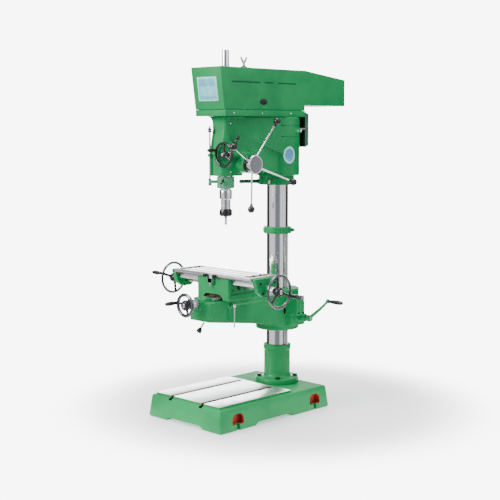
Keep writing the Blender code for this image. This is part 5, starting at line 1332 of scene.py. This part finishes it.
def build_guard():
    low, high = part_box("guard_cover")
    tray_low, tray_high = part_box("guard_tray")
    spindle = JOINT["spindle_spin"]
    stud = JOINT["wing_screw_turn"]
    half = high.x
    wall = GUARD_WALL
    step = GUARD_STEP
    lip = low.z
    foot, top, rear_top, rear_bottom = -0.529, high.z, 1.866, 1.713
    slant = (low.y - foot) / (top - lip)
    below = lip - 0.050
    outline = [(foot, lip), (low.y, top), (0.110, top), (high.y, rear_top), (high.y, rear_bottom),
        (step, rear_bottom), (step, lip)]
    hollow = [(foot + slant * (below - lip) + wall, below), (low.y + wall, top - wall), (0.110, top - wall),
        (high.y - wall, rear_top - wall), (high.y - wall, rear_bottom + wall),
        (step - wall, rear_bottom + wall), (step - wall, below)]
    shell = plain_object("guard_shell", prism(outline, "X", -half, half))
    round_edges(shell, 0.0045, 4, 15)
    cuts = [
        block((-0.2, -0.7, lip - 0.02), (0.2, step + 0.001, lip + 0.0001)),
        prism(soften(hollow, 0.002, 3, closed=True), "X", -half + wall, half - wall),
        rod((0, spindle.y, 1.85), (0, spindle.y, 1.95), 0.0165, sides=64),
        rod((0, stud.y, 1.85), (0, stud.y, 1.95), 0.0050),
        block((-0.085, 0.160, rear_bottom - 0.02), (0.085, 0.400, rear_bottom + 0.02)),
    ]
    dashes = [(-0.479, -0.260), (-0.227, -0.159), (-0.124, 0.027)]
    for side in (-1, 1):
        for near, far in dashes:
            ends = sorted((side * (half - 0.0012), side * (half + 0.004)))
            cuts.append(prism(soften([(near, 1.8265), (far, 1.8265), (far, 1.8335), (near, 1.8335)], 0.0034,
                4, closed=True), "X", *ends))

    # The shallow louvre dashes are painted dark green: painted shade standing in for open slots.
    def louvre_painted_shade(centre, _):
        inside = half - 0.0018 < abs(centre.x) < half - 0.0001
        return inside and 1.8260 < centre.z < 1.8340 and centre.y < 0.06

    piece("guard_shell", "guard", SHEET_GREEN, [joined_from(shell)], cut=cuts, replaces=["guard_cover"],
        sharp=40, others=[(DARK_GREEN, louvre_painted_shade)])

    way = Vector((0, -(top - lip), -(foot - low.y))).normalized()

    def on_slant(z, proud):
        return Vector((0, foot + slant * (z - lip), z)) + way * proud

    def slanted(half_width, bottom, top_edge, near, far):
        points = [on_slant(bottom, near), on_slant(top_edge, near), on_slant(top_edge, far),
            on_slant(bottom, far)]
        return prism([(p.y, p.z) for p in points], "X", -half_width, half_width)

    border = slanted(0.0750, 1.728, 1.855, -0.0003, 0.0016)
    face = slanted(0.0690, 1.734, 1.849, 0.0010, 0.0021)
    piece("plate_border", "guard", PLATE_EDGE, [border], bevel=0.0004, sharp=25)
    bands = [slanted(0.0620, 1.7400, 1.7560, 0.0018, 0.0024),
        slanted(0.0620, 1.8060, 1.8430, 0.0018, 0.0024)]
    piece("blank_plate", "guard", PLATE, [face], bevel=0.0003, sharp=25)
    piece("plate_bands", "guard", BAND_BLUE, bands, bevel=0.0002, sharp=25)
    rivets = []
    for x in (-0.072, 0.072):
        for z in (1.7312, 1.8518):
            rivets.append(ball(on_slant(z, 0.0012) + RIGHT * x, 0.0024, way, 20))
    piece("plate_rivets", "guard", CHROME, rivets, sharp=60)

    plug = []
    for k in range(12):
        angle = math.pi / 2 * k / 11
        scale = math.cos(angle) if k < 11 else 0.03
        ring = []
        for turn in circle(48):
            ring.append((half - 0.0005 + 0.0042 * math.sin(angle), -0.235 + 0.0300 * scale * math.cos(turn),
                1.727 + 0.0170 * scale * math.sin(turn)))
        plug.append(ring)
    piece("guard_plug", "guard", RUBBER, [loft(plug)], slot="black_plastic", sharp=60)

    outline = [(tray_low.y + 0.003, tray_low.z), (tray_high.y, tray_low.z), (tray_high.y, 1.682),
        (tray_low.y, 1.682)]
    pan = plain_object("tray_pan", prism(outline, "X", tray_low.x, tray_high.x))
    round_edges(pan, 0.0022, 3)
    inner = half - wall
    cuts = [
        block((-inner, -0.520, tray_low.z + 0.003), (inner, step - 0.002, 1.75)),
        rod((0, spindle.y, 1.60), (0, spindle.y, 1.70), 0.0365, sides=72),
        rod((0, JOINT["idler_spin"].y, 1.60), (0, JOINT["idler_spin"].y, 1.70), 0.0110),
    ]
    post = turned([(0.0048, 1.660), (0.0100, 1.6505), (0.0100, 1.700), (0.0048, 1.700)], (0, stud.y, 0), UP,
        40)
    piece("tray_pan", "head", SHEET_GREEN, [joined_from(pan)], cut=cuts, replaces=["guard_tray"])
    piece("tray_post", "head", STEEL, [post])
    screws = []
    for side in (-1, 1):
        for y in (-0.465, -0.250, -0.020):
            screws.append(cap_screw((side * (tray_high.x - 0.0004), y, 1.6655), (side, 0, 0), 0.0046))
    piece("tray_screws", "head", CHROME, screws, slot="machined_steel")

    tube_low, tube_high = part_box("spindle_tube")
    z = tube_low.z
    end = tube_high.z
    tube = turned([(0.0166, z), (0.0200, z), (0.0200, end - 0.0050), (0.0185, end - 0.0008), (0.0166, end)],
        (0, spindle.y, 0), UP, 72)
    lid = turned(soften([(0, end - 0.0040), (0.0170, end - 0.0040), (0.0170, end - 0.0004), (0, end)],
        0.0004), (0, spindle.y, 0), UP, 72)
    foot_ring = turned(soften([(0.0201, z), (0.0250, z), (0.0250, z + 0.0030), (0.0201, z + 0.0034)],
        0.0006), (0, spindle.y, 0), UP, 72)
    piece("tube_shell", "guard", CHROME, [tube, lid, foot_ring], replaces=["spindle_tube"])

    dome = soften([(0.0044, top + 0.0003), (0.0240, top + 0.0003), (0.0225, top + 0.007),
        (0.0120, top + 0.0145), (0.0044, top + 0.0158)], 0.003)
    stem = rod((0, stud.y, 1.672), (0, stud.y, 1.940), 0.0042, sides=28)
    boss = turned(soften([(0, 1.924), (0.0085, 1.924), (0.0075, 1.940), (0.0050, 1.944), (0, 1.944)],
        0.002), (0, stud.y, 0), UP, 32)
    wings = []
    for side in (-1, 1):
        points = [(stud.y - side * 0.003, 1.926), (stud.y + side * 0.014, 1.944),
            (stud.y + side * 0.026, 1.968), (stud.y + side * 0.021, 1.976), (stud.y + side * 0.012, 1.962),
            (stud.y - side * 0.003, 1.942)]
        wings.append(prism(soften(points, 0.006, 4, closed=True), "X", -0.0028, 0.0028))
    piece("wing_screw_dome", "wing_screw", DARK_GREEN, [turned(dome, (0, stud.y, 0), UP, 56)], sharp=60)
    piece("wing_screw_body", "wing_screw", STEEL, [stem, boss, *wings], replaces=["guard_wing_screw"])


def build_motor_plate():
    low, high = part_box("motor_plate")
    front = PLATE_FRONT
    plate = plain_object("motor_plate_body", block((-0.092, front, low.z), (0.092, front + 0.016, high.z)))
    round_edges(plate, 0.0030, 3)
    ribs = []
    for x in (-0.084, 0.084):
        ribs.append(block((x - 0.004, front + 0.010, low.z + 0.006), (x + 0.004, high.y, high.z - 0.006)))
    cuts = []
    for x, z in PLATE_BOLTS:
        for end in (x - 0.010, x + 0.010):
            cuts.append(rod((end, 0.10, z), (end, 0.20, z), 0.0055))
        cuts.append(block((x - 0.010, 0.10, z - 0.0055), (x + 0.010, 0.20, z + 0.0055)))
    for x in (-PLATE_ROD_X, PLATE_ROD_X):
        cuts.append(rod((x, 0.10, PLATE_ROD_HEIGHT), (x, front + 0.014, PLATE_ROD_HEIGHT), 0.0079))
    # The plate's front face, in shadow behind the hub, is painted near-black: painted shade.
    piece("motor_plate_casting", "motor_mount", GREY_GREEN, [joined_from(plate), *ribs], voxel=0.0022,
        passes=3, cut=cuts, replaces=["motor_plate"], others=[(PAINTED_SHADE, lambda c, n: n.y < -0.7)])
    bolts = []
    for x, z in PLATE_BOLTS:
        bolts.append(rod((x, front + 0.002, z), (x, front + 0.026, z), 0.0050, sides=24))
        bolts += hex_bolt((x, front + 0.0165, z), BACK, 0.0105)
        bolts.append(block((x - 0.0165, front + 0.0010, z - 0.0052),
            (x + 0.0165, front + 0.0030, z + 0.0052)))
    piece("motor_bolts", "motor_mount", BLACK_STEEL, bolts, sharp=25)
    bars = []
    for x in (-PLATE_ROD_X, PLATE_ROD_X):
        bars.append(rod((x, 0.030, PLATE_ROD_HEIGHT), (x, front + 0.0135, PLATE_ROD_HEIGHT), 0.0079,
            sides=40, edge=0.001))
    piece("motor_plate_rods", "motor_mount", STEEL, bars)


# Floor, light and camera

VIEW_WAY = Vector((0.70123, -0.71288, 0.0))  # from the machine towards the operator's right
BACKDROP = (8.0, 8.0, 8.0)


def build_floor():
    s = Surface("studio_floor", 0.0, Emission_Color=(1.0, 1.0, 1.0, 1.0), Emission_Strength=0.60)
    place = s.add("ShaderNodeVectorMath", {"operation": "LENGTH"}, i0=s.place).outputs["Value"]
    grain = s.noise(3.0, 2.0)
    s.finish(s.mix(grain, (0.90, 0.90, 0.90), (0.93, 0.93, 0.93)), s.spread(grain, 0.0, 1.0, 0.75, 0.85),
        s.bump(grain, 0.02, 0.001))
    clear = s.nodes.new("ShaderNodeBsdfTransparent")
    fade = s.nodes.new("ShaderNodeMixShader")
    s.feed(s.spread(place, 0.60, 1.35), fade.inputs[0])
    s.feed(s.shader.outputs[0], fade.inputs[1])
    s.feed(clear.outputs[0], fade.inputs[2])
    s.feed(fade.outputs[0], s.nodes["Material Output"].inputs["Surface"])
    floor = plain_object("studio_floor",
        turned([(0, -0.02), (3.2, -0.02), (3.2, 0.0), (0, 0.0)], (0, -0.3, 0), UP, 96))
    floor.data.materials.append(s.material)


def build_world():
    """Soft studio surround: white behind the machine, black flags at its sides, bright banks in front of
    them and a grey one behind the viewer, so that bright metal shows clean bands."""
    world = bpy.data.worlds.new("studio")
    bpy.context.scene.world = world
    world.use_nodes = True
    tree = world.node_tree
    way = tree.nodes.new("ShaderNodeTexCoord").outputs["Generated"]
    flat = tree.nodes.new("ShaderNodeVectorMath")
    flat.operation = "MULTIPLY"
    flat.inputs[1].default_value = (1, 1, 0)
    tree.links.new(way, flat.inputs[0])
    unit = tree.nodes.new("ShaderNodeVectorMath")
    unit.operation = "NORMALIZE"
    tree.links.new(flat.outputs[0], unit.inputs[0])
    facing = tree.nodes.new("ShaderNodeVectorMath")
    facing.operation = "DOT_PRODUCT"
    facing.inputs[1].default_value = VIEW_WAY
    tree.links.new(unit.outputs[0], facing.inputs[0])
    share = tree.nodes.new("ShaderNodeMapRange")
    share.inputs[1].default_value = -1.0
    tree.links.new(facing.outputs["Value"], share.inputs[0])
    round_about = ramp(tree, [(0.000, BACKDROP), (0.024, BACKDROP), (0.050, (0.03, 0.03, 0.035)),
        (0.400, (0.05, 0.05, 0.06)), (0.500, (1.0, 1.0, 1.0)), (0.930, (1.0, 1.0, 1.0)),
        (0.965, (0.26, 0.27, 0.31)), (1.000, (0.24, 0.25, 0.29))])
    tree.links.new(share.outputs[0], round_about.inputs[0])
    height = tree.nodes.new("ShaderNodeSeparateXYZ")
    tree.links.new(way, height.inputs[0])
    above = tree.nodes.new("ShaderNodeMapRange")
    above.interpolation_type = "SMOOTHSTEP"
    above.inputs[1].default_value = 0.30
    above.inputs[2].default_value = 0.62
    tree.links.new(height.outputs[2], above.inputs[0])
    blend = tree.nodes.new("ShaderNodeMix")
    blend.data_type = "RGBA"
    tree.links.new(above.outputs[0], blend.inputs[0])
    tree.links.new(round_about.outputs[0], blend.inputs[6])
    blend.inputs[7].default_value = (0.95, 0.97, 1.0, 1.0)
    background = tree.nodes["Background"]
    background.inputs["Strength"].default_value = 1.0
    tree.links.new(blend.outputs[2], background.inputs["Color"])


def ramp(tree, stops):
    node = tree.nodes.new("ShaderNodeValToRGB")
    elements = node.color_ramp.elements
    elements[0].position, elements[0].color = stops[0][0], (*stops[0][1], 1.0)
    elements[1].position, elements[1].color = stops[-1][0], (*stops[-1][1], 1.0)
    for position, colour in stops[1:-1]:
        elements.new(position).color = (*colour, 1.0)
    return node


def area_light(name, place, aim, size, power, colour=(1.0, 1.0, 1.0)):
    data = bpy.data.lights.new(name, "AREA")
    data.shape = "DISK"
    data.size = size
    data.energy = power
    data.color = colour
    made = bpy.data.objects.new(name, data)
    made.location = place
    made.rotation_euler = (Vector(aim) - Vector(place)).to_track_quat("-Z", "Y").to_euler()
    bpy.context.scene.collection.objects.link(made)


def build_lights():
    area_light("front_light", (-1.6, -5.2, 3.2), (0, -0.3, 1.1), 2.4, 330.0, (1.0, 0.99, 0.97))
    area_light("side_light", (5.5, 1.0, 3.4), (0, -0.2, 1.2), 2.6, 35.0, (0.95, 0.98, 1.0))
    area_light("top_light", (0.3, -0.4, 5.0), (0, -0.3, 0.8), 2.6, 150.0)


def build_camera():
    data = bpy.data.cameras.new("viewpoint")
    data.lens = 78.8
    data.sensor_width = 36.0
    made = bpy.data.objects.new("viewpoint", data)
    made.location = (4.2768, -4.5701, 1.5754)
    made.rotation_euler = Vector((-0.69722, 0.70851, -0.10908)).to_track_quat("-Z", "Y").to_euler()
    bpy.context.scene.collection.objects.link(made)
    bpy.context.scene.camera = made


def main():
    build_base()
    build_column()
    build_knee()
    build_crank()
    build_knee_levers()
    build_saddle()
    build_table()
    build_table_drive()
    build_cross_drive()
    build_head()
    build_quill()
    build_spindle()
    build_feed()
    build_fine_feed()
    build_head_levers()
    build_drive()
    build_guard()
    build_motor_plate()
    build_floor()
    build_world()
    build_lights()
    build_camera()


main()
